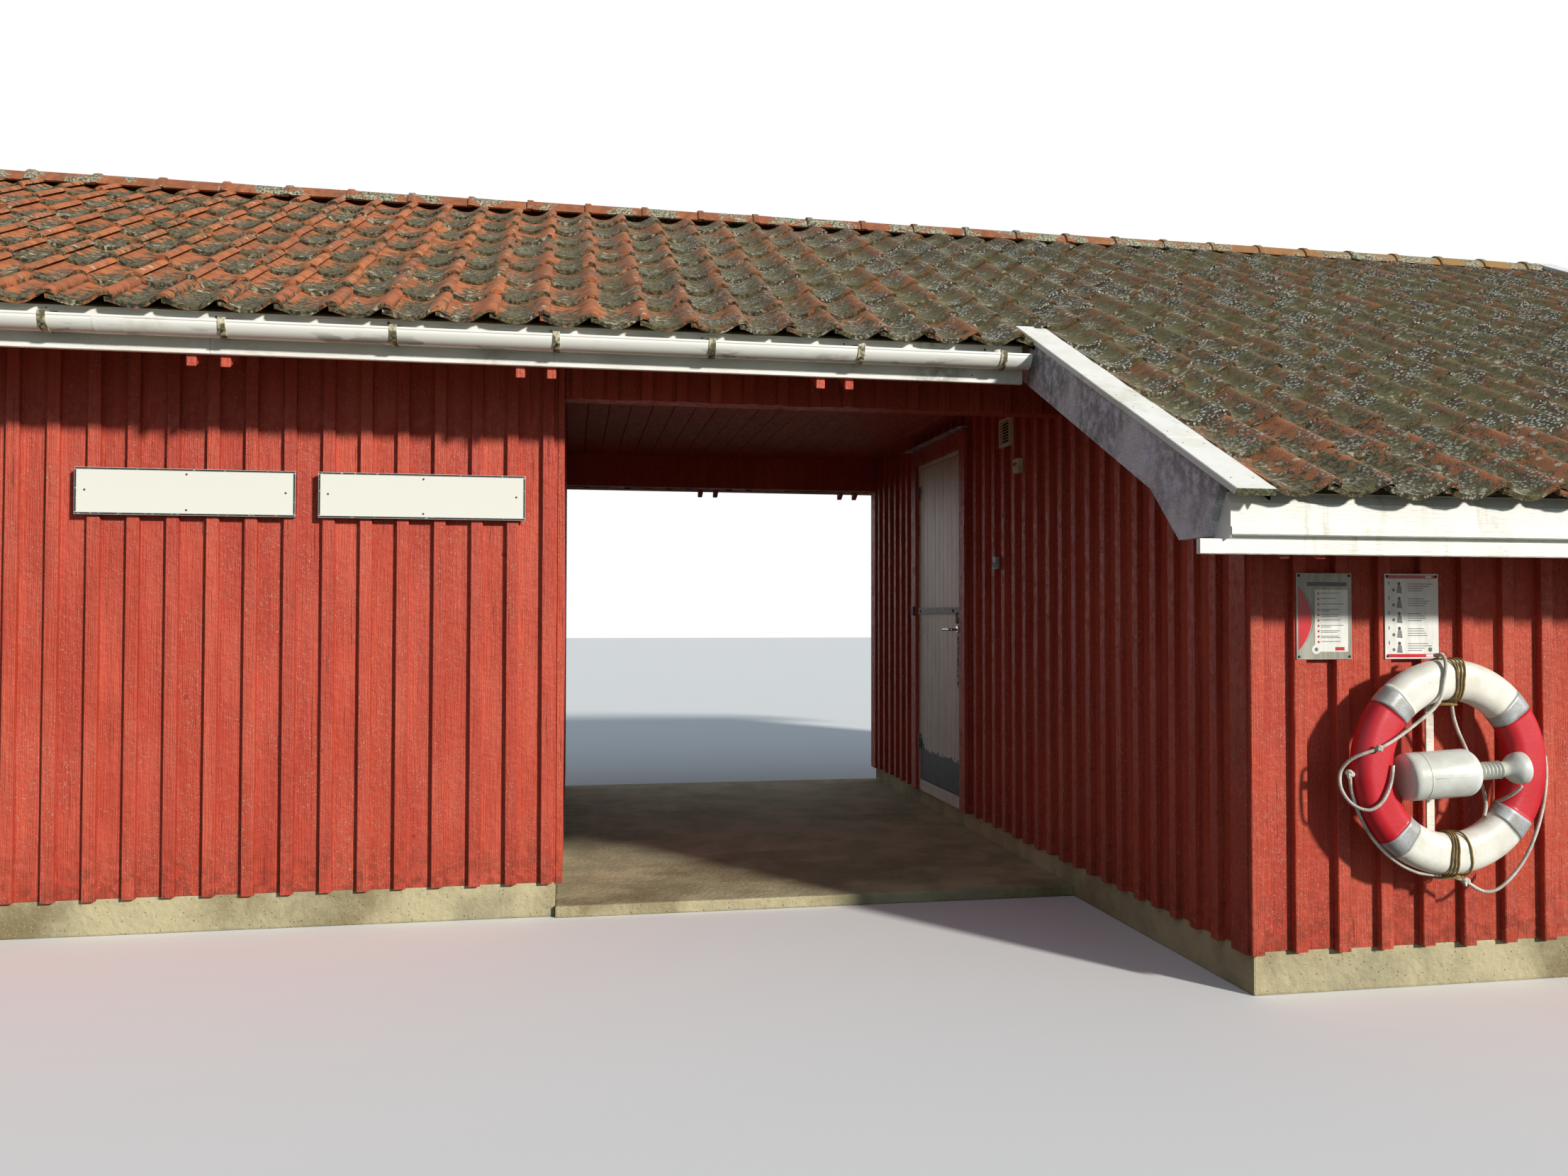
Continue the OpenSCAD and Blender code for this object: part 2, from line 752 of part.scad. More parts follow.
// Socket box, and the small key box with its hanging loop
module wall_boxes() {
    loop_r = 17;
    loop_t = 8;
    key_top = key_z + key_h;
    color("#e0d8bd") translate([half_p - socket_d, front_y + socket_y - socket_w / 2, socket_z])
        cube([socket_d, socket_w, socket_h]);
    color("#9fb0b8") {
        translate([half_p - key_d, front_y + key_y - key_w / 2, key_z])
            cube([key_d, key_w, key_h]);
        translate([half_p - key_d + loop_t / 2, front_y + key_y, key_top - 1])
            rotate([90, 0, 90]) linear_extrude(loop_t) difference() {
                circle(loop_r);
                circle(loop_r - loop_t);
                translate([-loop_r, -loop_r]) square([2 * loop_r, loop_r]);
            }
    }
}

// Two blank name boards on the left front wall
sign_x1 = -half_p - sign_inset;
module name_boards() {
    for (i = [0:1]) {
        x1 = sign_x1 - i * (sign_w + sign_gap);
        color(white_paint) block(x1 - sign_w, x1, step_y - sign_t, step_y,
            sign_top - sign_h, sign_top);
    }
}

notice_x = [179, 518];
module notices() {
    color(white_paint) for (x = notice_x)
        block(half_p + x, half_p + x + notice_w, front_y - notice_t, front_y,
            notice_top - notice_h, notice_top);
}

// Lifebuoy: a ring with a flattened round section
buoy_cx = half_p + buoy_x;
buoy_cy = front_y - buoy_off - buoy_t / 2;
module lifebuoy() {
    r = buoy_t / 2;
    mid = (buoy_d - buoy_w) / 2;
    half = (buoy_w - buoy_t) / 2;
    color(white_paint) translate([buoy_cx, buoy_cy, buoy_z]) rotate([90, 0, 0])
        rotate_extrude($fn = 96) translate([mid, 0]) {
            translate([-half, 0]) circle(r);
            translate([half, 0]) circle(r);
            square([2 * half, buoy_t], center = true);
        }
}

// Bottle for the rescue line: body, ribbed neck and funnel, turned about
// one axis; it lies across the ring, a little forward at the funnel
bottle_r = 80;
bottle_l = 250;
bottle_at = [-202, 142, -28];
bottle_up = 4;
bottle_out = 6.5;
funnel_r = 54;
funnel_l = 70;
neck_r = 25;
rib_r = 31;
ribs = 7;
rib_gap = 13;

module on_bottle() {
    translate([buoy_cx + bottle_at[0], front_y - bottle_at[1], buoy_z + bottle_at[2]])
        rotate([0, 0, -bottle_out]) rotate([0, 90 - bottle_up, 0]) children();
}

module line_container() {
    shoulder = bottle_l - 40;
    neck_l = ribs * rib_gap + 10;
    mouth = bottle_l + neck_l + funnel_l;
    section = [[0, 0], [bottle_r - 26, 0], [bottle_r - 8, 8], [bottle_r, 26],
        [bottle_r, shoulder], [bottle_r - 12, shoulder + 26], [rib_r, bottle_l],
        [neck_r, bottle_l], [neck_r, bottle_l + neck_l], [funnel_r, mouth - 12],
        [funnel_r, mouth], [0, mouth]];
    color(white_paint) on_bottle() {
        rotate_extrude() polygon(section);
        for (i = [0:ribs - 1])
            translate([0, 0, bottle_l + 5 + i * rib_gap]) cylinder(h = rib_gap / 2, r = rib_r);
    }
}

// Flat bar behind the ring, held off the wall by two feet, with a
// saddle that carries the bottle
bracket_bar_t = 8;
saddle_h = 44;
seat_fit = 0.3;
module lifebuoy_bracket() {
    w = 30;
    x0 = buoy_cx - 32 - w / 2;
    y1 = front_y - buoy_off + seat_fit + bracket_bar_t;
    reach = buoy_d / 2 - 10;
    saddle_z = buoy_z - 14 - saddle_h / 2;
    color(white_paint) {
        block(x0, x0 + w, y1 - bracket_bar_t, y1, buoy_z - reach, buoy_z + reach);
        for (z = [buoy_z - reach + 60, buoy_z + reach - 90])
            block(x0, x0 + w, y1, front_y, z, z + 30);
        difference() {
            block(x0, x0 + w, front_y - bottle_at[1], y1, saddle_z, saddle_z + saddle_h);
            on_bottle() cylinder(h = bottle_l, r = bottle_r + seat_fit);
        }
    }
}

// Grab line of the lifebuoy, in two long and two short lengths: [right, out
// from the wall, up] from the middle of the ring
line_r = 5.5;
upper_line = [
    [-18, 70, 378], [-26, 100, 380], [-34, 130, 376], [-44, 152, 358], [-52, 161, 330],
    [-58, 161, 300], [-62, 161, 270], [-70, 162, 240], [-88, 163, 214], [-112, 164, 192],
    [-140, 165, 172], [-170, 165, 152], [-202, 165, 130], [-234, 165, 110], [-266, 165, 92],
    [-298, 165, 77], [-328, 162, 66], [-356, 152, 55], [-379, 134, 40], [-395, 118, 20],
    [-406, 106, -5], [-410, 104, -34], [-408, 107, -62], [-400, 116, -88], [-388, 130, -110],
    [-368, 148, -126], [-342, 162, -130], [-316, 166, -118], [-294, 167, -98],
    [-278, 167, -72], [-266, 166, -44], [-258, 164, -14], [-252, 160, 16]
];
lower_line = [
    [-378, 112, -20], [-372, 107, -48], [-366, 105, -78], [-358, 105, -106], [-347, 105, -136],
    [-334, 105, -166], [-318, 105, -195], [-300, 105, -223], [-279, 105, -249],
    [-256, 105, -273], [-231, 105, -295], [-204, 105, -315], [-175, 105, -333],
    [-145, 105, -347], [-114, 105, -358], [-82, 105, -363], [-49, 105, -368],
    [-16, 105, -371], [16, 105, -378], [46, 107, -386], [74, 108, -400], [100, 108, -416],
    [128, 108, -428], [158, 108, -430], [188, 108, -421], [216, 108, -403], [243, 108, -380],
    [268, 108, -354], [290, 108, -326], [309, 108, -296], [325, 108, -265], [339, 108, -233],
    [351, 108, -200], [361, 108, -167], [369, 108, -134], [375, 108, -101], [379, 108, -68],
    [381, 108, -35], [380, 108, -3], [376, 108, 29]
];
hanging_line = [
    [14, 107, 218.8], [18, 105, 198], [25, 101, 174], [36, 97, 146], [50, 94, 116],
    [66, 92, 86], [82, 90, 56], [98, 89, 26], [114, 88, -4], [128, 88, -32], [140, 89, -60],
    [148, 91, -88], [151, 95, -114], [149, 100, -138], [143, 104, -158], [136, 107, -171.9]
];
mouth_line = [
    [210.4, 189, -58.9], [208, 184, -67], [204, 176, -77], [200, 166, -87], [196, 154, -97],
    [191, 141, -106], [187, 129, -114], [183, 118, -120], [180, 109, -124.8]
];

function minus(a, b) = [a[0] - b[0], a[1] - b[1], a[2] - b[2]];
function unit(a) = a / norm(a);
function along(p, i) = unit(minus(p[min(i + 1, len(p) - 1)], p[max(i - 1, 0)]));
function ring_of(p, i, r, sides) = let(
    t = along(p, i),
    u = unit(cross(t, abs(t[1]) < 0.9 ? [0, 1, 0] : [0, 0, 1])),
    v = cross(t, u)
) [for (k = [0:sides - 1]) p[i] + r * (cos(360 * k / sides) * u + sin(360 * k / sides) * v)];

module tube(p, r, sides) {
    n = len(p);
    points = [for (i = [0:n - 1]) each ring_of(p, i, r, sides)];
    sides_faces = [for (i = [0:n - 2], k = [0:sides - 1]) let(m = (k + 1) % sides)
        [i * sides + k, i * sides + m, (i + 1) * sides + m, (i + 1) * sides + k]];
    first = [for (k = [sides - 1:-1:0]) k];
    last = [for (k = [0:sides - 1]) (n - 1) * sides + k];
    polyhedron(points, concat(sides_faces, [first, last]));
}

module grab_line() {
    place = [buoy_cx, front_y, buoy_z];
    color(white_paint) for (line = [upper_line, lower_line, hanging_line, mouth_line])
        tube([for (q = line) place + [q[0], -q[1], q[2]]], line_r, 8);
}

left_plinth();
right_plinth();
passage_slab();
left_front_wall();
left_rear_wall();
left_gable_wall();
left_passage_wall();
right_front_wall();
right_rear_wall();
right_gable_wall();
side_wall_front();
side_wall_rear();
side_wall_over_door();
front_lintel();
rear_lintel();
passage_ceiling();
rafters_front();
rafters_rear();
roof_deck_front();
roof_deck_rear();
tiles_front_left();
tiles_front_right();
tiles_rear();
ridge_tiles();
left_fascia();
right_fascia();
rear_fascia();
gutter();
gutter_brackets();
step_verge_boards();
left_verge_boards();
right_verge_boards();
door_frame();
door_leaf();
door_lever();
door_bar();
door_trim();
vent_grille();
wall_boxes();
name_boards();
notices();
lifebuoy();
grab_line();
lifebuoy_bracket();
line_container();
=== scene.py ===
import math
import random

import bmesh
import bpy
from mathutils import Matrix, Vector


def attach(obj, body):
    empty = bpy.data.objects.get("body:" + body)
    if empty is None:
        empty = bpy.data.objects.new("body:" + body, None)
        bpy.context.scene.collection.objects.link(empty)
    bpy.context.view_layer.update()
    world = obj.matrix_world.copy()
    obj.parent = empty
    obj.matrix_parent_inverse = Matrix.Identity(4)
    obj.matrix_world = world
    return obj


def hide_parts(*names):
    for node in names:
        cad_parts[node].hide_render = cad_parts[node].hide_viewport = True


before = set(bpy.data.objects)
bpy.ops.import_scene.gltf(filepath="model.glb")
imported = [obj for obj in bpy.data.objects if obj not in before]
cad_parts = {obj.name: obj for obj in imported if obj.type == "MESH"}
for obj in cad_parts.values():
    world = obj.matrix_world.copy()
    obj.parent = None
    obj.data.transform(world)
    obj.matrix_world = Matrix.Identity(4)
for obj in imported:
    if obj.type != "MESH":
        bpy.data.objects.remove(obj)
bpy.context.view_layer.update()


def add_object(name, data):
    item = bpy.data.objects.new(name, data)
    bpy.context.scene.collection.objects.link(item)
    return item


# Camera 1.3 m up in front of the passage, turned a little to the right and
# up, as the photograph was taken.
camera_data = bpy.data.cameras.new("camera")
camera_data.sensor_fit = "HORIZONTAL"
camera_data.sensor_width = 36
camera_data.lens = 27.25
camera = add_object("camera", camera_data)
camera.location = (-1.123, -6.275, 1.300)
look = (Matrix.Rotation(math.radians(-10.21), 3, "Z")
        @ Matrix.Rotation(math.radians(91.288), 3, "X")
        @ Matrix.Rotation(math.radians(0.08), 3, "Z"))
camera.rotation_euler = look.to_euler()
bpy.context.scene.camera = camera

# Grab line of the lifebuoy: two lengths of plaited white cord, 11 mm thick,
# tied at the top and bottom of the ring; the upper one ends behind the bottle.
# Two short lengths of the rescue line show behind the bottle's neck and mouth.
cord_radius = 0.0055
cord_strands = 4
cord_twist = 0.026
cord_step = 0.004
ring_middle = Vector((1.827, -2.575, 0.786))
upper_line = [
    (-18, 70, 378), (-26, 100, 380), (-34, 130, 376), (-44, 152, 358), (-52, 161, 330),
    (-58, 161, 300), (-62, 161, 270), (-70, 162, 240), (-88, 163, 214), (-112, 164, 192),
    (-140, 165, 172), (-170, 165, 152), (-202, 165, 130), (-234, 165, 110), (-266, 165, 92),
    (-298, 165, 77), (-328, 162, 66), (-356, 152, 55), (-379, 134, 40), (-395, 118, 20),
    (-406, 106, -5), (-410, 104, -34), (-408, 107, -62), (-400, 116, -88), (-388, 130, -110),
    (-368, 148, -126), (-342, 162, -130), (-316, 166, -118), (-294, 167, -98),
    (-278, 167, -72), (-266, 166, -44), (-258, 164, -14), (-252, 160, 16),
]
lower_line = [
    (-378, 112, -20), (-372, 107, -48), (-366, 105, -78), (-358, 105, -106), (-347, 105, -136),
    (-334, 105, -166), (-318, 105, -195), (-300, 105, -223), (-279, 105, -249),
    (-256, 105, -273), (-231, 105, -295), (-204, 105, -315), (-175, 105, -333),
    (-145, 105, -347), (-114, 105, -358), (-82, 105, -363), (-49, 105, -368),
    (-16, 105, -371), (16, 105, -378), (46, 107, -386), (74, 108, -400), (100, 108, -416),
    (128, 108, -428), (158, 108, -430), (188, 108, -421), (216, 108, -403), (243, 108, -380),
    (268, 108, -354), (290, 108, -326), (309, 108, -296), (325, 108, -265), (339, 108, -233),
    (351, 108, -200), (361, 108, -167), (369, 108, -134), (375, 108, -101), (379, 108, -68),
    (381, 108, -35), (380, 108, -3), (376, 108, 29),
]
hanging_line = [
    (14, 107, 218.8), (18, 105, 198), (25, 101, 174), (36, 97, 146), (50, 94, 116),
    (66, 92, 86), (82, 90, 56), (98, 89, 26), (114, 88, -4), (128, 88, -32), (140, 89, -60),
    (148, 91, -88), (151, 95, -114), (149, 100, -138), (143, 104, -158), (136, 107, -171.9),
]
mouth_line = [
    (210.4, 189, -58.9), (208, 184, -67), (204, 176, -77), (200, 166, -87), (196, 154, -97),
    (191, 141, -106), (187, 129, -114), (183, 118, -120), (180, 109, -124.8),
]


def put(tree, kind, inputs=None, **settings):
    """Places a shader node; sockets among its inputs are linked, values are set."""
    node = tree.nodes.new("ShaderNode" + kind)
    for key, value in settings.items():
        setattr(node, key, value)
    for key, value in (inputs or {}).items():
        if isinstance(value, bpy.types.NodeSocket):
            tree.links.new(value, node.inputs[key])
        else:
            node.inputs[key].default_value = value
    return node


def colour(value):
    """A colour of three parts is written as 0 to 255, as the eye sees it."""
    if isinstance(value, bpy.types.NodeSocket) or len(value) == 4:
        return value
    linear = [((c / 255 + 0.055) / 1.055) ** 2.4 if c > 10 else c / 255 / 12.92 for c in value]
    return (*linear, 1)


def mix(tree, amount, low, high):
    """Mixes two colours by a mask."""
    return put(tree, "Mix", {0: amount, 6: colour(low), 7: colour(high)}, data_type="RGBA").outputs[2]


def combine(tree, operation, a, b, clamp=False):
    return put(tree, "Math", {0: a, 1: b}, operation=operation, use_clamp=clamp).outputs[0]


def part(tree, mask, share):
    """A mask at part strength, or two masks where both hold."""
    return combine(tree, "MULTIPLY", mask, share, clamp=True)


def layers(tree, tone, *steps):
    """Lays colours over a tone; each step is a mask, its strength and the colour."""
    for mask, share, over in steps:
        tone = mix(tree, part(tree, mask, share), tone, over)
    return tone


def vector(tree, operation, a, b):
    return put(tree, "VectorMath", {0: a, 1: b}, operation=operation).outputs[0]


def ramp(tree, value, low, high, to_low=0.0, to_high=1.0, smooth=False):
    """Turns the reach from low to high into the one from to_low to to_high."""
    inputs = {"Value": value, "From Min": low, "From Max": high, "To Min": to_low, "To Max": to_high}
    kind = "SMOOTHSTEP" if smooth else "LINEAR"
    return put(tree, "MapRange", inputs, interpolation_type=kind).outputs[0]


def here(tree):
    return put(tree, "TexCoord").outputs["Object"]


def axis(tree, name):
    return put(tree, "SeparateXYZ", {0: here(tree)}).outputs[name]


def stored(tree, name):
    return put(tree, "Attribute", attribute_name=name).outputs["Fac"]


def noise(tree, scale, detail):
    return put(tree, "TexNoise", {"Vector": here(tree), "Scale": scale, "Detail": detail}).outputs[0]


def new_effect(name, inputs, outputs):
    """An empty node group with its sockets."""
    group = bpy.data.node_groups.new(name, "ShaderNodeTree")
    for key, value in inputs.items():
        kind = "NodeSocketVector" if isinstance(value, tuple) else "NodeSocketFloat"
        group.interface.new_socket(key, in_out="INPUT", socket_type=kind).default_value = value
    for key in outputs:
        group.interface.new_socket(key, in_out="OUTPUT", socket_type="NodeSocketFloat")
    return group, group.nodes.new("NodeGroupInput").outputs, group.nodes.new("NodeGroupOutput").inputs


# Irregular patches in the object's own space: paint shades, dirt, damp, moss
patches, given, wanted = new_effect(
    "patches", {"Stretch": (1, 1, 1), "Shift": 0, "Scale": 5, "Detail": 4, "From": 0.45, "To": 0.6}, ["Mask"])
stretched = vector(patches, "MULTIPLY", here(patches), given["Stretch"])
shifted = vector(patches, "ADD", stretched, given["Shift"])
clouds = put(patches, "TexNoise", {"Vector": shifted, "Scale": given["Scale"], "Detail": given["Detail"],
                                   "Roughness": 0.6}).outputs[0]
patches.links.new(ramp(patches, clouds, given["From"], given["To"], smooth=True), wanted["Mask"])


def cloud(tree, scale, low=0.45, high=0.6, detail=4.0, stretch=(1, 1, 1), shift=0.0):
    """The patches' mask, which grows from low to high of the noise."""
    inputs = {"Scale": scale, "From": low, "To": high, "Detail": detail, "Stretch": stretch, "Shift": shift}
    return put(tree, "Group", inputs, node_tree=patches).outputs[0]


# Small round spots: lichen, splashes, holes, grit
spots, given, wanted = new_effect("spots", {"Scale": 60, "Size": 0.2, "Share": 0.5}, ["Mask"])
wobble = put(spots, "TexNoise", {"Vector": here(spots), "Scale": 90.0, "Detail": 2.0}).outputs[1]
moved = vector(spots, "MULTIPLY", wobble, (0.006, 0.006, 0.006))
at = vector(spots, "ADD", here(spots), moved)
cells = put(spots, "TexVoronoi", {"Vector": at, "Scale": given["Scale"]}).outputs
disc = ramp(spots, cells["Distance"], given["Size"], part(spots, given["Size"], 0.6), smooth=True)
pick = put(spots, "SeparateColor", {0: cells["Color"]}).outputs[0]
some = combine(spots, "LESS_THAN", pick, given["Share"], clamp=True)
spots.links.new(part(spots, disc, some), wanted["Mask"])


def specks(tree, scale, size, share):
    """The spots' mask; share is how many of the places hold one."""
    inputs = {"Scale": scale, "Size": size, "Share": share}
    return put(tree, "Group", inputs, node_tree=spots).outputs[0]


def new_finish(name, roughness, metallic=0.0):
    """A material with its one shader."""
    material = bpy.data.materials.new(name)
    material.use_nodes = True
    inputs = material.node_tree.nodes["Principled BSDF"].inputs
    inputs["Roughness"].default_value = roughness
    inputs["Metallic"].default_value = metallic
    return material, material.node_tree


def paint(tree, tone, relief=None, depth=0.0):
    """Gives the shader its colour and, where there is one, its relief."""
    inputs = tree.nodes["Principled BSDF"].inputs
    tree.links.new(tone, inputs["Base Color"])
    if relief is not None:
        raised = put(tree, "Bump", {"Height": relief, "Distance": depth, "Strength": 1.0})
        tree.links.new(raised.outputs[0], inputs["Normal"])


def two_tone(name, roughness, low, high, mask, depth=None, metallic=0.0):
    """A material of two colours in patches, which may stand in relief."""
    material, tree = new_finish(name, roughness, metallic)
    patch = cloud(tree, *mask)
    paint(tree, mix(tree, patch, low, high), patch if depth else None, depth)
    return material


def piece_of(name, mesh, finishes, replaces, body, smooth=0):
    """Hangs a mesh on its body; smooth is the angle under which its edges are shaded
    round, and 0 leaves it flat."""
    for finish in finishes if isinstance(finishes, list) else [finishes]:
        mesh.materials.append(finish)
    if smooth:
        mesh.shade_smooth()
    else:
        mesh.shade_flat()
    if 0 < smooth < 180:
        mesh.set_sharp_from_angle(angle=math.radians(smooth))
    piece = add_object(name, mesh)
    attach(piece, body)
    if replaces:
        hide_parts(*replaces)
    return piece


def made(name, points, faces, finishes, replaces=(), body="building", smooth=0, choose=None):
    """A piece from points and faces; choose gives each face its finish by number."""
    mesh = bpy.data.meshes.new(name)
    mesh.from_pydata([tuple(p) for p in points], [], faces)
    if choose:
        mesh.polygons.foreach_set("material_index", choose)
    return piece_of(name, mesh, finishes, replaces, body, smooth)


def store(piece, name, domain, values):
    """Stores a number for each face or point, which the materials read."""
    piece.data.attributes.new(name, "FLOAT", domain).data.foreach_set("value", values)


def skin(points, faces, rings, flip=False, caps=True, loop=False, closed=True):
    """Joins rings of points, all of one length, into one form; flip turns its faces over,
    loop joins the last ring to the first, and closed joins each ring's last point to its first."""
    first, n = len(points), len(rings[0])
    for ring in rings:
        points.extend(ring)
    for k in range(len(rings) if loop else len(rings) - 1):
        a = first + k * n
        b = first + (k + 1) % len(rings) * n
        for i in range(n if closed else n - 1):
            j = (i + 1) % n
            faces.append((a + i, a + j, b + j, b + i) if flip else (a + i, b + i, b + j, a + j))
    if caps:
        low, high = range(first, first + n), range(b, b + n)
        faces.append(tuple(low[::-1] if flip else low))
        faces.append(tuple(high if flip else high[::-1]))


def smooth_path(points, step):
    """A smooth line through the points, cut into short equal steps."""
    line = []
    last = len(points) - 1
    for i in range(last):
        a, b, c, d = (points[max(i - 1, 0)], points[i], points[i + 1], points[min(i + 2, last)])
        for k in range(8):
            t = k / 8
            line.append(0.5 * (2 * b + (c - a) * t + (2 * a - 5 * b + 4 * c - d) * t * t
                               + (3 * b - a - 3 * c + d) * t ** 3))
    line.append(points[last])
    walked = [0.0]
    for a, b in zip(line, line[1:]):
        walked.append(walked[-1] + (b - a).length)
    count = max(2, round(walked[-1] / step))
    even, j = [], 0
    for k in range(count + 1):
        want = walked[-1] * k / count
        while j < len(line) - 2 and walked[j + 1] < want:
            j += 1
        share = (want - walked[j]) / max(walked[j + 1] - walked[j], 1e-9)
        even.append(line[j].lerp(line[j + 1], share))
    return even, walked[-1]


def tube(points, faces, line, section, turn=0.0, side=Vector((0, 1, 0))):
    """Sweeps a closed section along a line, turning it as a laid cord turns."""
    rings = []
    walked = 0.0
    for i, p in enumerate(line):
        along = (line[min(i + 1, len(line) - 1)] - line[max(i - 1, 0)]).normalized()
        side = (side - along * side.dot(along)).normalized()
        up = along.cross(side)
        if i:
            walked += (p - line[i - 1]).length
        c, s = math.cos(turn * walked), math.sin(turn * walked)
        rings.append([p + side * (u * c - v * s) + up * (u * s + v * c) for u, v in section])
    skin(points, faces, rings, flip=True)


def oval(across, up, sides):
    """A closed section round a middle."""
    return [(across * math.cos(math.tau * k / sides), up * math.sin(math.tau * k / sides))
            for k in range(sides)]


cord_white, tree = new_finish("cord_white", 0.75)
fibre = cloud(tree, 420, 0.35, 0.65, 2)
soil = cloud(tree, 14, 0.42, 0.62)
tone = mix(tree, fibre, (206, 200, 186), (240, 237, 228))
paint(tree, mix(tree, soil, tone, mix(tree, 0.55, tone, (150, 140, 118))), fibre, 0.0006)

cord_section = []
for k in range(16):
    a = math.tau * k / 16
    r = cord_radius + 0.0003 + 0.0006 * math.cos(cord_strands * a)
    cord_section.append((r * math.cos(a), r * math.sin(a)))
for name, route in (("grab_line_upper", upper_line), ("grab_line_lower", lower_line),
                    ("rescue_line_hanging", hanging_line), ("rescue_line_mouth", mouth_line)):
    stations = [ring_middle + Vector((x, -out, up)) / 1000 for x, out, up in route]
    line, length = smooth_path(stations, cord_step)
    points, faces = [], []
    tube(points, faces, line, cord_section, math.tau / cord_twist)
    cord = made(name, points, faces, cord_white, ["grab_line"], smooth=180)

# Plain pale studio floor, a soft sun from the right and an even white sky
floor_mesh = bpy.data.meshes.new("floor")
floor_mesh.from_pydata([(-60, -60, 0), (60, -60, 0), (60, 60, 0), (-60, 60, 0)], [], [(0, 1, 2, 3)])
floor = add_object("floor", floor_mesh)
floor_finish, tree = new_finish("floor", 0.9)
seen = put(tree, "LightPath").outputs["Is Camera Ray"]
paint(tree, mix(tree, seen, (0.1, 0.11, 0.08, 1), (0.9, 0.9, 0.89, 1)))
floor_mesh.materials.append(floor_finish)
sun_data = bpy.data.lights.new("sun", "SUN")
sun_data.energy = 4.15
sun_data.angle = math.radians(4)
sun_data.color = (1, 0.96, 0.9)
sun = add_object("sun", sun_data)
sun.rotation_euler = Vector((0.71, -1.0, 0.44)).to_track_quat("Z", "Y").to_euler()
world = bpy.data.worlds.new("sky")
world.use_nodes = True
tree = world.node_tree
sky = tree.nodes["Background"].inputs
rays = put(tree, "LightPath").outputs
seen = combine(tree, "MAXIMUM", rays["Is Camera Ray"], rays["Is Glossy Ray"])
seen = combine(tree, "MAXIMUM", seen, rays["Is Transmission Ray"])
tree.links.new(ramp(tree, seen, 0.0, 1.0, 0.32), sky["Strength"])
tree.links.new(mix(tree, seen, (0.64, 0.82, 1, 1), (1, 1, 1, 1)), sky["Color"])
bpy.context.scene.world = world
bpy.context.scene.view_settings.view_transform = "Standard"

# Plinths and passage slab: rough cast concrete, the plinths inset below the
# cladding; clouded by damp, stained and pitted with pores.
concrete, tree = new_finish("concrete", 0.9)
pores = specks(tree, 70, 0.2, 0.35)
tone = mix(tree, cloud(tree, 3.5, 0.38, 0.64, 6), (192, 180, 142), (160, 151, 120))
tone = mix(tree, cloud(tree, 1.3, 0.48, 0.66, 5, shift=4.0), tone, (132, 118, 84))
tone = layers(tree, tone, (specks(tree, 150, 0.32, 0.4), 0.45, (214, 208, 190)), (pores, 0.7, (92, 86, 72)))
relief = combine(tree, "SUBTRACT", noise(tree, 40, 6), part(tree, pores, 0.5))
paint(tree, tone, relief, 0.006)


def ease(form, edges, rounding, segments=2):
    bmesh.ops.bevel(form, geom=edges, offset=rounding, segments=segments, profile=0.6,
                    affect="EDGES", clamp_overlap=True)


def dress(node, finish, rounding, segments=2):
    """A copy of a node's form with its edges eased, which then stands for the node."""
    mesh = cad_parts[node].data.copy()
    mesh.materials.clear()
    form = bmesh.new()
    form.from_mesh(mesh)
    bmesh.ops.remove_doubles(form, verts=form.verts, dist=0.00002)
    bmesh.ops.dissolve_limit(form, angle_limit=math.radians(1), verts=form.verts, edges=form.edges)
    sharp = [e for e in form.edges if len(e.link_faces) == 2 and e.calc_face_angle(0) > math.radians(25)]
    ease(form, sharp, rounding, segments)
    form.to_mesh(mesh)
    form.free()
    piece_of(node + "_dressed", mesh, finish, [node], "building")


for node in ("left_plinth", "right_plinth", "passage_slab"):
    dress(node, concrete, 0.008)

# Clad walls: upright boards 22 mm thick with 27 mm battens nailed over their
# joints, brushed with red distemper; raw timber inside.
board_t = 0.022
batten_t = 0.027
batten_w = 0.048
corner_w = 0.1
plinth_top = 0.15
half_passage = 1.15
wall_end = 5.15
front = -2.575
step = -1.075
back = 2.575
ridge = 0.75
wall_t = 0.14
angle = math.radians(27.2)
slope = math.tan(angle)
plate_z = 2.465
rafter_v = 0.148 / math.cos(angle)

red_paint, tree = new_finish("red_paint", 0.5)
shader = tree.nodes["Principled BSDF"]
shader.inputs["Specular IOR Level"].default_value = 0.3
board_no = stored(tree, "board")
shift = combine(tree, "MULTIPLY", board_no, 37.0)
figure = cloud(tree, 26, 0.34, 0.68, 5, (1, 1, 0.05), shift)
fibre = cloud(tree, 190, 0.3, 0.7, 3, (1, 1, 0.03), shift)
brushed = cloud(tree, 36, 0.42, 0.66)
cracks = cloud(tree, 120, 0.69, 0.75, 2, (1, 1, 0.02), shift)
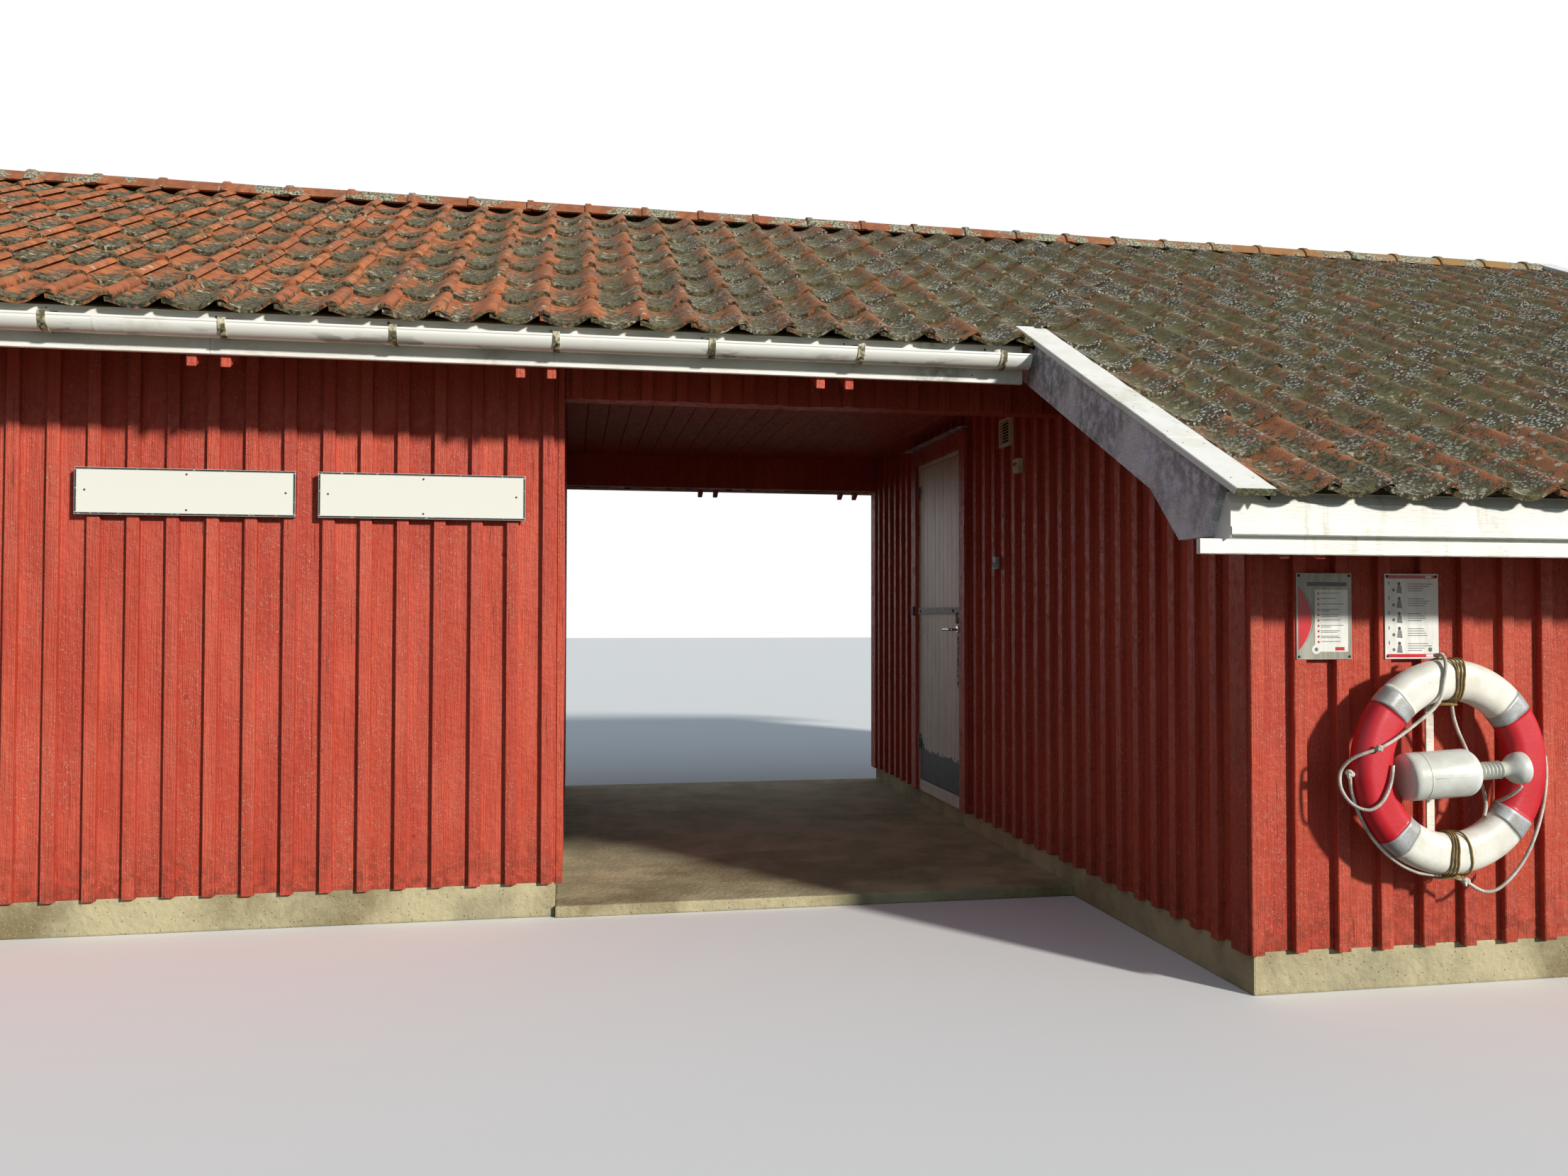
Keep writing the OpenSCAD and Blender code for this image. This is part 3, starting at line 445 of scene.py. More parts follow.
# Pale flecks: partly blistered paint, partly painted highlights that stand for glints of light on the raised
# paint.
blisters_and_glints = part(tree, cloud(tree, 210, 0.57, 0.63, 3, (1, 1, 0.5), shift),
                cloud(tree, 4, 0.4, 0.58, 3, shift=shift))
knots = specks(tree, 5.5, 0.075, 0.5)
splashed = part(tree, ramp(tree, axis(tree, "Z"), 0.42, 0.14), cloud(tree, 24, 0.4, 0.62))
tone = mix(tree, cloud(tree, 1.6, 0.4, 0.62, shift=shift), (192, 78, 55), (206, 92, 68))
tone = layers(tree, tone, (figure, 0.35, (150, 48, 36)), (board_no, 0.3, (168, 56, 48)),
              (knots, 0.5, (120, 36, 32)), (cracks, 0.7, (84, 24, 22)),
              # The small pale specks (226, 176, 162) are painted highlights: glints of light on the paint's
              # grain.
              (blisters_and_glints, 0.5, (236, 166, 146)), (specks(tree, 34, 0.06, 0.12), 0.8, (226, 176, 162)),
              (splashed, 0.55, (108, 52, 38)))
tree.links.new(ramp(tree, brushed, 0.0, 1.0, 0.38, 0.62), shader.inputs["Roughness"])
relief = combine(tree, "ADD", fibre, part(tree, brushed, 0.8))
relief = combine(tree, "SUBTRACT", relief, cracks)
relief = combine(tree, "ADD", relief, part(tree, blisters_and_glints, 0.9))
relief = combine(tree, "ADD", relief, part(tree, knots, 0.6))
paint(tree, tone, relief, 0.0016)

raw_timber, tree = new_finish("raw_timber", 0.75)
figure = cloud(tree, 30, 0.34, 0.68, 5, (1, 1, 0.05))
tone = mix(tree, figure, (176, 142, 98), (138, 106, 70))
paint(tree, layers(tree, tone, (cloud(tree, 1.8, 0.4, 0.62), 0.6, (112, 96, 76))), figure, 0.0015)


def under_z(y):
    """Height of the rafters' underside; the slope behind the ridge mirrors the front one."""
    return plate_z + (min(y, 2 * ridge - y) - step) * slope


def eaves_height(y):
    """Height of the roof boards' underside."""
    return under_z(y) + rafter_v


def upright(points, faces, start, end, foot, tops, depth, lean):
    """One board: start and end are plan points on its face, tops its two upper heights.
    depth is how far its back lies behind the face, lean moves its top sideways."""
    along = (end - start).normalized()
    inward = Vector((-along.y, along.x))
    edge = 0.0025
    width = (end - start).length
    plan = [(0, depth), (0, edge), (edge, 0), (width - edge, 0), (width, edge), (width, depth)]
    rings = []
    for share in (0.0, 0.25, 0.5, 0.75, 1.0):
        rings.append([])
        for u, v in plan:
            p = start + along * (u + lean * share) + inward * v
            top = tops[0] + (tops[1] - tops[0]) * u / width
            rings[-1].append((p.x, p.y, foot + (top - foot) * share))
    skin(points, faces, rings, flip=True, closed=False)


def clad(points, faces, tones, start, end, foot, top, first, corners, module, dice):
    """Boards and battens along a run, seen with start on the left; first is the place of
    the first batten's left edge; corners says where a corner board closes the run."""
    start, end = Vector(start), Vector(end)
    along = (end - start).normalized()
    inward = Vector((-along.y, along.x))
    length = (end - start).length

    def at(u, deep):
        return start + along * u + inward * deep

    def add(u0, u1, deep, drop, lean, thick):
        z = [top(at(u, 0).y) - 0.004 for u in (u0, u1)]
        upright(points, faces, at(u0, deep), at(u1, deep), foot - drop, z, thick, lean)
        tones.extend([dice.random()] * (len(faces) - len(tones)))

    edges = []
    u = first
    while u < length - 0.02:
        if u > -batten_w + 0.01:
            edges.append(u)
        u += module * dice.uniform(0.985, 1.015)
    middles = [e + batten_w / 2 for e in edges]
    joints = [0.0] + [u for u in middles if 0.02 < u < length - 0.02] + [length]
    for a, b in zip(joints, joints[1:]):
        deep = batten_t + dice.uniform(0, 0.001)
        add(a + 0.003, b - 0.003, deep, dice.uniform(-0.002, 0.004), 0, board_t)
    for e in edges:
        a, b = max(e, 0.0), min(e + batten_w, length)
        if b - a > 0.015:
            deep, drop = dice.uniform(0, 0.0012), dice.uniform(0.001, 0.009)
            add(a, b, deep, drop, dice.uniform(-0.002, 0.002), batten_t)
    for has_corner, a in zip(corners, (0.0, length - corner_w)):
        if has_corner:
            add(a, a + corner_w, 0.0, 0.008, 0, batten_t)


def clad_wall(name, node, planes, run, seed, core_finish=raw_timber):
    """A wall piece: the timber core drawn back from the planes that get boards, and the boards."""
    points = []
    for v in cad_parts[node].data.vertices:
        p = v.co.copy()
        for side, value, shift in planes:
            if abs(p[side] - value) < 0.0005:
                p[side] += shift
        points.append(p)
    faces = [tuple(f.vertices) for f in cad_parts[node].data.polygons]
    inner = len(faces)
    tones = [0.5] * inner
    clad(points, faces, tones, *run, random.Random(seed))
    choose = [1] * inner + [0] * (len(faces) - inner)
    wall = made(name + "_cladding", points, faces, [red_paint, core_finish], [node],
                choose=choose)
    store(wall, "board", "FACE", tones)


def flat_top(y):
    return eaves_height(step)


def front_top(y):
    return eaves_height(front)


core_back = 2 * board_t
board_pitch, front_pitch, side_pitch = 0.1505, 0.162, 0.1503
at_front = (1, front, core_back)
at_step = (1, step, core_back)
at_back = (1, back, -core_back)
at_left = (0, -wall_end, core_back)
at_right = (0, wall_end, -core_back)
at_way_left = (0, -half_passage, -core_back)
at_way_right = (0, half_passage, core_back)
in_front, in_step, in_back = front + board_t, step + board_t, back - board_t
way = (0.42, 1.31)
way_top = 2.285
neither, left_only, right_only, both = (False, False), (True, False), (False, True), (True, True)

walls = (
    ("left_front", "left_front_wall", (at_step, at_left, at_way_left),
     ((-wall_end, step), (-half_passage, step), plinth_top, flat_top, 0.148, left_only, board_pitch)),
    ("left_rear", "left_rear_wall", (at_back, at_left, at_way_left),
     ((-half_passage, back), (-wall_end, back), plinth_top, flat_top, 0.05, both, board_pitch)),
    ("left_gable", "left_gable_wall", (at_left,),
     ((-wall_end, in_back), (-wall_end, in_step), plinth_top, eaves_height, 0.06, both, board_pitch)),
    ("left_passage", "left_passage_wall", (at_way_left,),
     ((-half_passage, in_step), (-half_passage, in_back), plinth_top, eaves_height, 0.07, both,
      board_pitch)),
    ("right_front", "right_front_wall", (at_front, at_way_right, at_right),
     ((half_passage, front), (wall_end, front), plinth_top, front_top, 0.008, right_only, front_pitch)),
    ("right_rear", "right_rear_wall", (at_back, at_way_right, at_right),
     ((wall_end, back), (half_passage, back), plinth_top, flat_top, 0.05, both, board_pitch)),
    ("right_gable", "right_gable_wall", (at_right,),
     ((wall_end, in_front), (wall_end, in_back), plinth_top, eaves_height, 0.06, both, board_pitch)),
    ("side_front", "side_wall_front", (at_way_right,),
     ((half_passage, way[0]), (half_passage, in_front), plinth_top, eaves_height, 0.04, right_only,
      side_pitch)),
    ("side_rear", "side_wall_rear", (at_way_right,),
     ((half_passage, in_back), (half_passage, way[1]), plinth_top, eaves_height, 0.03, left_only,
      side_pitch)),
    ("over_door", "side_wall_over_door", (at_way_right,),
     ((half_passage, way[1]), (half_passage, way[0]), way_top, eaves_height, 0.05, neither, side_pitch)))
for seed, wall in enumerate(walls, 1):
    clad_wall(*wall, seed)

# Over the passage: cladding hangs on both beams, a boarded ceiling runs
# between them from front to back, all in the walls' red.
clad_wall("front_beam", "front_lintel", (at_step,),
          ((-half_passage, step), (half_passage, step), 2.24, flat_top, 0.03, neither, board_pitch),
          11, red_paint)
clad_wall("rear_beam", "rear_lintel", (at_back,),
          ((half_passage, back), (-half_passage, back), 2.235, flat_top, 0.03, neither, board_pitch),
          12, red_paint)
ceiling_z = 2.465
ceiling_w = 0.12
points, faces, tones = [], [], []
dice = random.Random(13)
x = -half_passage
while x < half_passage - 0.001:
    low, high = ceiling_z - dice.uniform(0, 0.002), ceiling_z + 0.016
    x0, x1 = x + 0.001, x + min(ceiling_w, half_passage - x) - 0.001
    section = [(x0, high), (x0, low + 0.004), (x0 + 0.003, low), (x1 - 0.003, low), (x1, low + 0.004),
               (x1, high)]
    skin(points, faces, [[(px, y, pz) for px, pz in section] for y in (step + wall_t, back - wall_t)])
    tones.extend([dice.random()] * (len(faces) - len(tones)))
    x += ceiling_w
ceiling = made("ceiling_boards", points, faces, red_paint, ["passage_ceiling"])
store(ceiling, "board", "FACE", tones)

# Rafter pairs show red tails under the eaves; the roof boards are bare timber,
# greyed in patches.
for node in ("rafters_front", "rafters_rear"):
    dress(node, red_paint, 0.003, segments=1)
for node in ("roof_deck_front", "roof_deck_rear"):
    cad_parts[node].data.materials.clear()
    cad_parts[node].data.materials.append(raw_timber)

# Roof covering: clay pantiles, each hooked over a batten with its roll lapping
# the next tile to the right; orange clay under dark lichen, grey-green and
# crusted with pale lichen towards the right.
tile_pitch = 0.1935
roll_x = -2.975
tile_reach = 0.3336
tile_body = 0.017
tile_edge = 0.190
lip_side = [0.2145, 0.211, 0.202, 0.190, 0.178, 0.165, 0.150, 0.132, 0.112, 0.090, 0.070, 0.050,
            0.032, 0.015, 0.0, -0.012]
tile_rise = [0.043, 0.049, 0.0555, 0.0580, 0.0550, 0.0475, 0.0365, 0.0250, 0.0165, 0.0130, 0.0140,
             0.0175, 0.0235, 0.0300, 0.0340, 0.0350]
down = Vector((0, -math.cos(angle), -math.sin(angle)))
outward = Vector((0, -math.sin(angle), math.cos(angle)))
deck_top = rafter_v + 0.0006 + 0.044 / math.cos(angle)
tile_top = deck_top + 0.058 / math.cos(angle)
peak = Vector((0, ridge, plate_z + (ridge - step) * slope + deck_top))
verge_in = 5.452
step_edge = 0.775
cover_edge = 0.8953
step_row = 7

tiled, tree = new_finish("pantiles", 0.85)
age = stored(tree, "age")
tile_no = stored(tree, "tile")
shift = combine(tree, "MULTIPLY", tile_no, 19.0)
mottle = cloud(tree, 24, 0.3, 0.7, 6, shift=shift)
clay = mix(tree, mottle, (214, 134, 82), (178, 100, 58))
clay = layers(tree, clay, (cloud(tree, 9, 0.46, 0.62, 6, shift=shift), 0.6, (122, 82, 50)),
              (tile_no, 0.5, (158, 88, 56)))
clay = mix(tree, age, clay, mix(tree, mottle, (128, 88, 56), (98, 78, 50)))
moss = mix(tree, mottle, (80, 76, 41), (114, 106, 64))
crust = mix(tree, cloud(tree, 60, 0.42, 0.58, 5, shift=shift), (42, 38, 25), (116, 106, 73))
crust = mix(tree, part(tree, age, cloud(tree, 1.1, 0.36, 0.64, 3)), crust, moss)
film = combine(tree, "ADD", stored(tree, "film"), combine(tree, "MULTIPLY", mottle, 0.62))
covered = ramp(tree, film, 0.62, 0.86, smooth=True)
pale_field = cloud(tree, 5, 0.46, 0.6, 5, shift=3.0)
pale = part(tree, part(tree, cloud(tree, 44, 0.54, 0.61, 5, shift=shift), pale_field), covered)
rosettes = part(tree, specks(tree, 26, 0.38, 0.2), pale_field)
pale = combine(tree, "MAXIMUM", pale, rosettes, clamp=True)
clump_field = part(tree, cloud(tree, 6.5, 0.52, 0.56, 3, shift=9.0), age)
clumps = part(tree, specks(tree, 72, 0.52, 0.85), clump_field)
tone = layers(tree, mix(tree, covered, clay, crust), (pale, 0.85, (204, 200, 174)),
              (clump_field, 0.6, (58, 56, 46)))
relief = combine(tree, "ADD", noise(tree, 240, 4), part(tree, covered, 0.6))
relief = combine(tree, "ADD", relief, clumps)
paint(tree, mix(tree, clumps, tone, (206, 204, 190)), relief, 0.006)


def age_at(x, dice):
    """How far moss and lichen have taken a tile: little on the left, much on the right."""
    base = min(1.0, max(0.0, (x + 1.6) / 2.6))
    return min(1.0, max(0.0, base + dice.uniform(-0.22, 0.22)))


def tile_section(left_x, low_x, high_x):
    """A tile's section from right to left, cut at two bounds and closed down there."""
    line = [(left_x + u, h) for u, h in zip(lip_side, tile_rise)]
    kept = [line[0]] if low_x < line[0][0] < high_x else []
    for (xa, ha), (xb, hb) in zip(line, line[1:]):
        if xb < high_x <= xa:
            kept += [(high_x, 0.0), (high_x, ha + (hb - ha) * (high_x - xa) / (xb - xa))]
        if xb <= low_x < xa:
            kept += [(low_x, ha + (hb - ha) * (low_x - xa) / (xb - xa)), (low_x, 0.0)]
        if low_x < xb < high_x:
            kept.append((xb, hb))
    return kept


def tile_field(name, node, columns, rows, rear, limits, seed):
    """Pantiles in rows from the ridge down; limits gives each tile its left and right
    bounds, and how far down it runs before it is cut."""
    dice = random.Random(seed)
    points, faces, looks = [], [], []
    shares = (0.0, 0.4, 0.72, 0.93, 1.0)
    for row in range(rows):
        for column in columns:
            roll = roll_x + column * tile_pitch
            bounds = limits(row, roll)
            if not bounds:
                continue
            low_x, high_x, cut = bounds
            left_x = roll - tile_edge + dice.uniform(-0.003, 0.003)
            section = tile_section(left_x, low_x, high_x)
            across = len(section)
            if across < 3:
                continue
            number = dice.random()
            age = age_at(roll, dice) * (0.55 if row > 10 else 1.0)
            lift = dice.uniform(0.0, 0.003)
            skew = dice.uniform(-0.0036, 0.0036) if across == len(lip_side) else 0.0
            dark = dice.uniform(-0.2, 0.2)
            first = len(points)
            head = row * tile_reach - (0.06 if row else -0.02)
            nose = (row + 1) * tile_reach + dice.uniform(-0.006, 0.006)
            if cut:
                nose = min(nose, cut)
            for share in shares:
                at_nose = share == 1.0
                for x, h in section:
                    s = head + (nose - head) * share + (dice.uniform(-0.002, 0.002) if at_nose else 0.0)
                    lifted = h - 0.006 + 0.023 * share + lift - (0.0025 if at_nose else 0.0)
                    p = peak + down * s + outward * lifted
                    points.append((x + skew * (share - 0.5), 2 * ridge - p.y if rear else p.y, p.z))
                    trough = 1.0 - min(1.0, max(0.0, (h - 0.013) / 0.036))
                    crust_and_painted_light = 0.18 + 0.6 * trough * min(1.0, 0.15 + 1.1 * share) + dark + 0.27 * age
                    # Less crust on the tile's left flank, which faces the light: partly clean clay, partly a
                    # painted highlight.
                    if x - left_x < 0.045 and share < 0.85:
                        crust_and_painted_light -= 0.25
                    # At the nose the crust share is raised by 0.25, a painted shade line under each nose, and
                    # lowered with age for fresh orange broken edges.
                    looks.append((age, number, crust_and_painted_light + (0.25 - 0.65 * age if at_nose else 0.0)))
            bands = len(shares) - 1
            for k in range(bands):
                for i in range(across - 1):
                    a = first + k * across + i
                    faces.append((a + 1, a, a + across, a + across + 1))
            last = first + bands * across
            under = len(points)
            whole = row == rows - 1 or cut
            for x, y, z in points[first if whole else last:under]:
                offset = outward * tile_body
                points.append((x, y + (offset.y if rear else -offset.y), z - offset.z))
                # Undersides and nose edges get heavy crust: partly lichen, partly painted shade under the
                # noses.
                looks.append((age, number, 0.55 + 0.3 * age))
            nose_under = len(points) - across
            for i in range(across - 1):
                faces.append((last + i + 1, last + i, nose_under + i, nose_under + i + 1))
            for k in range(bands if whole else 0):
                a, b = first + k * across, under + k * across
                for i in range(across - 1):
                    faces.append((b + i, b + i + 1, b + i + across + 1, b + i + across))
                faces.append((a, b, b + across, a + across))
                a, b = a + across - 1, b + across - 1
                faces.append((b, a, a + across, b + across))
    if rear:
        faces = [f[::-1] for f in faces]
    piece = made(name, points, faces, tiled, [node], smooth=42)
    for key, values in zip(("age", "tile", "film"), zip(*looks)):
        store(piece, key, "POINT", values)


def left_limits(row, roll):
    if row == step_row and roll > step_edge:
        return (-verge_in, step_edge - 0.002, None) if roll - tile_pitch < step_edge else None
    return (-verge_in, 5, None) if roll < step_edge + 0.01 else None


def right_limits(row, roll):
    if row < step_row:
        return (-5, verge_in, None) if roll > step_edge + 0.01 else None
    if row == step_row and step_edge + 0.01 < roll <= cover_edge + 0.06:
        return (step_edge, cover_edge, (ridge + 1.436) / math.cos(angle))
    return (cover_edge, verge_in, None) if roll > cover_edge + 0.01 else None


def rear_limits(row, roll):
    return (-verge_in, verge_in, None)


tile_field("pantiles_front_left", "tiles_front_left", range(-13, 21), 8, False, left_limits, 21)
tile_field("pantiles_front_right", "tiles_front_right", range(19, 45), 13, False, right_limits, 22)
tile_field("pantiles_rear", "tiles_rear", range(-13, 45), 8, True, rear_limits, 23)

# Ridge: half-round clay tiles bedded over the top courses, each with a raised
# collar at its left end that laps the one before.
ridge_fired, tree = new_finish("ridge_clay", 0.85)
clay = mix(tree, cloud(tree, 22, 0.3, 0.7, 6), (180, 108, 68), (122, 76, 50))
clay = layers(tree, clay, (stored(tree, "tile"), 0.55, (138, 82, 56)))
clay = mix(tree, ramp(tree, axis(tree, "X"), 1.5, 5.0), clay, (158, 122, 70))
grown = cloud(tree, 5, 0.47, 0.56, 6)
crust = mix(tree, cloud(tree, 80, 0.4, 0.6), (70, 66, 52), (176, 172, 146))
paint(tree, mix(tree, grown, clay, crust), combine(tree, "ADD", noise(tree, 200, 4), grown), 0.004)

ridge_r = 0.1
ridge_body = 0.016
ridge_len = 0.33
ridge_lap = 0.02
ridge_collar = 0.035
ridge_first = -0.059
ridge_end = 5.36
ridge_crown = plate_z + (ridge - step) * slope + tile_top + 0.024
arc = 14
points, faces, numbers = [], [], []
dice = random.Random(31)
k = math.floor((-ridge_end - ridge_first) / ridge_len)
while ridge_first + k * ridge_len < ridge_end - 0.01:
    x0 = max(ridge_first + k * ridge_len, -ridge_end)
    x1 = min(x0 + ridge_len + ridge_lap, ridge_end)
    tilt = dice.uniform(-0.003, 0.003)
    number = dice.random()
    first = len(points)
    stations = [(x0, 0.0), (x0 + 0.003, 0.0015), (x0 + ridge_collar - 0.004, 0.0015),
                (x0 + ridge_collar + 0.004, -0.006), (x1, -0.009)]
    for x, swell in stations:
        for body in (0.0, ridge_body):
            r = ridge_r + swell - body
            for i in range(arc + 1):
                a = math.radians(14 + 152 * i / arc)
                z = ridge_crown - ridge_r + math.sin(a) * r + tilt * (x - x0) / ridge_len
                points.append((x, ridge + math.cos(a) * r, z))
                numbers.append(number)
    side = arc + 1
    ring = 2 * side
    for s in range(len(stations) - 1):
        a = first + s * ring
        for i in range(arc):
            faces.append((a + i, a + i + 1, a + i + 1 + ring, a + i + ring))
            b = a + side
            faces.append((b + i + 1, b + i, b + i + ring, b + i + 1 + ring))
        faces.append((a, a + ring, a + ring + side, a + side))
        faces.append((a + arc, a + arc + side, a + arc + side + ring, a + arc + ring))
    for a, flip in ((first, False), (first + (len(stations) - 1) * ring, True)):
        for i in range(arc):
            face = (a + i, a + side + i, a + side + 1 + i, a + i + 1)
            faces.append(face[::-1] if flip else face)
    k += 1
crown = made("ridge_row", points, faces, ridge_fired, ["ridge_tiles"], smooth=40)
store(crown, "tile", "POINT", numbers)

# White boards and sheets at the eaves and verges: thin oil paint, chalky and
# streaked by the rain, with grey mildew and black specks where it stays damp.
grime, given, wanted = new_effect("grime", {"Amount": 0.4, "Shift": 0}, ["Film", "Specks", "Drips"])
start = combine(grime, "SUBTRACT", 0.66, part(grime, given["Amount"], 0.34))
stop = combine(grime, "ADD", start, 0.2)
shift = given["Shift"]
for key, mask, field in (
        ("Film", cloud(grime, 2.2, start, stop, 6, shift=shift), cloud(grime, 26, 0.3, 0.62, 6)),
        ("Specks", specks(grime, 170, 0.33, 0.5), cloud(grime, 6, start, stop, 5, shift=shift)),
        ("Drips", cloud(grime, 24, 0.54, 0.68, 4, (1, 1, 0.06), shift),
         cloud(grime, 1.7, 0.5, 0.64, 2, shift=2.0))):
    grime.links.new(part(grime, mask, field), wanted[key])


def soiling(tree, amount, shift):
    """The grime's masks: Film, Specks and Drips."""
    return put(tree, "Group", {"Amount": amount, "Shift": shift}, node_tree=grime).outputs


def white_finish(name, amount, shift, clean, film):
    """White paint with its own share of mildew; film is the mildew's colour."""
    material, tree = new_finish(name, 0.55)
    dirt = soiling(tree, amount, shift)
    tone = layers(tree, clean, (cloud(tree, 5, 0.4, 0.64, 3, shift=shift), 0.35, (214, 208, 190)),
                  (dirt["Drips"], 0.4, (168, 152, 118)), (dirt["Film"], 0.72, film),
                  (dirt["Specks"], 0.8, (62, 58, 48)))
    paint(tree, tone, cloud(tree, 160, 0.3, 0.7, 3, (0.15, 0.15, 1)), 0.0007)
    return material


def soiled(name, roughness, amount, shift, low, high, mask, film, dots, relief=None, depth=0.0):
    """A pale material in two tones under grime; film and dots are strength and colour."""
    material, tree = new_finish(name, roughness)
    dirt = soiling(tree, amount, shift)
    tone = mix(tree, cloud(tree, *mask), low, high) if mask else low
    tone = layers(tree, tone, (dirt["Film"], *film), (dirt["Specks"], *dots))
    paint(tree, tone, noise(tree, *relief) if relief else None, depth)
    return material


fascia_white = white_finish("fascia_white", 0.3, 3.0, (240, 239, 232), (150, 146, 126))
mildewed = white_finish("mildewed_white", 0.95, 11.0, (224, 224, 236), (78, 76, 74))
cover_white = white_finish("cover_white", 0.4, 5.0, (240, 239, 232), (150, 146, 122))
rust = two_tone("rust", 0.85, (140, 78, 30), (88, 50, 30), (160, 0.4, 0.6), 0.0008)
moss_grown = two_tone("moss_grown", 0.95, (122, 122, 92), (74, 70, 46), (90, 0.35, 0.65, 5), 0.003)


def along_x(points, faces, section, x0, x1):
    """Extrudes a closed section in Y and Z between two places."""
    skin(points, faces, [[(x, y, z) for y, z in section] for x in (x0, x1)])


def solid(points, faces, low, high, edge=0.0):
    """Adds a straight-sided box whose long edges may be eased."""
    (x0, y0, z0), (x1, y1, z1) = low, high
    ring = [(y0, z0), (y1, z0), (y1, z1), (y0, z1)]
    if edge:
        ring = [(y0 + edge, z0), (y1 - edge, z0), (y1, z0 + edge), (y1, z1 - edge),
                (y1 - edge, z1), (y0 + edge, z1), (y0, z1 - edge), (y0, z0 + edge)]
    skin(points, faces, [[(x, y, z) for y, z in ring] for x in (x0, x1)], flip=True)


def fan(points, faces, middle, rim):
    """A low cone between its middle and its rim."""
    first, n = len(points), len(rim)
    points += [middle] + rim
    faces.extend((first, first + 1 + k, first + 1 + (k + 1) % n) for k in range(n))


def sheet_section(line, thick):
    """A bent sheet's closed section from its outer line, drawn in Y and Z."""
    back_line = []
    for i, (y, z) in enumerate(line):
        a = Vector(line[max(i - 1, 0)])
        b = Vector(line[min(i + 1, len(line) - 1)])
        along = (b - a).normalized()
        back_line.append((y + along.y * thick, z - along.x * thick))
    return list(line) + back_line[::-1]


# Eaves fascias of the left section and the back: boards butted end to end on
# the rafter ends, with a folded drip sheet nailed on under the tiles.
fascia_t = 0.022
butt = 0.0008
tail_left = step - 0.470
tail_back = back + 0.470
fascia_z = under_z(tail_left) + 0.045
tile_lift = deck_top + 0.0003
right_edge = 5.48
sheet_x = 5.44
eave_end = 0.741
bracket_gap = 0.6
face_left, face_back = tail_left - fascia_t, tail_back + fascia_t
for name, joints, y in (("left", (-right_edge, -2.448, eave_end), (face_left, tail_left)),
                        ("rear", (-right_edge, -1.86, 1.72, right_edge), (tail_back, face_back))):
    points, faces = [], []
    for x0, x1 in zip(joints, joints[1:]):
        top = under_z(min(y[0], 2 * ridge - y[1])) + tile_lift
        solid(points, faces, (x0 + butt, y[0], fascia_z), (x1 - butt, y[1], top), 0.002)
    made(name + "_fascia_boards", points, faces, fascia_white, [name + "_fascia"])
for name, x1, y, side in (("left", 0.738, face_left, -1), ("rear", sheet_x, face_back, 1)):
    top = under_z(y) + tile_lift
    out = y + side * 0.002
    line = [(y - side * 0.018, top - 0.004), (out, top - 0.003), (out, fascia_z + 0.126),
            (out + side * 0.008, fascia_z + 0.119)]
    points, faces = [], []
    along_x(points, faces, sheet_section(line, 0.0012 * side), -sheet_x, x1)
    made(name + "_drip_sheet", points, faces, fascia_white)

# Nails of the drip sheet and the fascia, rusted through the paint
nail_r = 0.0045
points, faces = [], []
dice = random.Random(41)
for x in [0.58 - bracket_gap * k for k in range(10)]:
    places = [(x + dice.uniform(-0.02, 0.02), fascia_z + dice.uniform(0.135, 0.15))]
    if dice.random() < 0.4:
        places.append((x - 0.06, fascia_z + 0.03))
    for px, pz in places:
        y = face_left - 0.0022 if pz > fascia_z + 0.1 else face_left
        r = nail_r * dice.uniform(0.8, 1.4)
        rim = [(px + u * dice.uniform(0.8, 1.2), y + 0.0005, pz + v * dice.uniform(0.8, 1.3))
               for u, v in oval(r, r, 9)]
        fan(points, faces, (px, y - 0.002, pz), rim)
made("fascia_nails", points, faces, rust)

# Gutter: half-round white plastic with a rolled bead at its front rim, joined
# by a sleeve, closed by end caps; rain has left dark dirt along its belly.
gutter_plastic, tree = new_finish("gutter_plastic", 0.32)
dirt = soiling(tree, 0.18, 7.0)
smear = cloud(tree, 13, 0.52, 0.6, 5, (0.35, 1, 1), 1.0)
belly = part(tree, ramp(tree, axis(tree, "Z"), 2.346, 2.322), smear)
tone = mix(tree, dirt["Film"], (240, 239, 231), (206, 200, 178))
paint(tree, layers(tree, tone, (dirt["Drips"], 0.25, (190, 180, 150)), (belly, 0.6, (84, 80, 66))))

gutter_t = 0.003
gutter_r = 0.050 + gutter_t
gutter_y = face_left - gutter_r - 0.0043
gutter_z = fascia_z + 0.100
gutter_x = -5.47
bead_r = 0.0065
sleeve_x = (-2.817, -2.709)
band_w = 0.012


def half_round(r, side=1.0):
    return [(-math.cos(math.pi * k / 20) * r * side, -math.sin(math.pi * k / 20) * r * side)
            for k in range(21)]


def gutter_part(section, x0, x1):
    """Adds a part of the gutter; its section is drawn about the trough's middle."""
    along_x(points, faces, [(gutter_y + y, gutter_z + z) for y, z in section], x0, x1)


def trough(r, thick):
    return half_round(r) + half_round(r, 1 - thick / r)[::-1]


points, faces = [], []
roll = [(bead_r - gutter_r - gutter_t * 0.6 - bead_r * math.cos(a), bead_r * math.sin(a))
        for a in [math.radians(-60 + 26 * k) for k in range(10)]]
gutter_part(trough(gutter_r, gutter_t)[1:-1] + roll[::-1], gutter_x, eave_end)
for x in (sleeve_x[0], sleeve_x[1] - band_w, eave_end - band_w):
    gutter_part(trough(gutter_r + 0.0011, 0.0016), x, x + band_w)
gutter_part(trough(gutter_r + 0.0006, 0.001), *sleeve_x)
for x in (gutter_x, eave_end - gutter_t):
    gutter_part(half_round(gutter_r), x, x + gutter_t)
made("gutter_run", points, faces, gutter_plastic, ["gutter"], smooth=40)

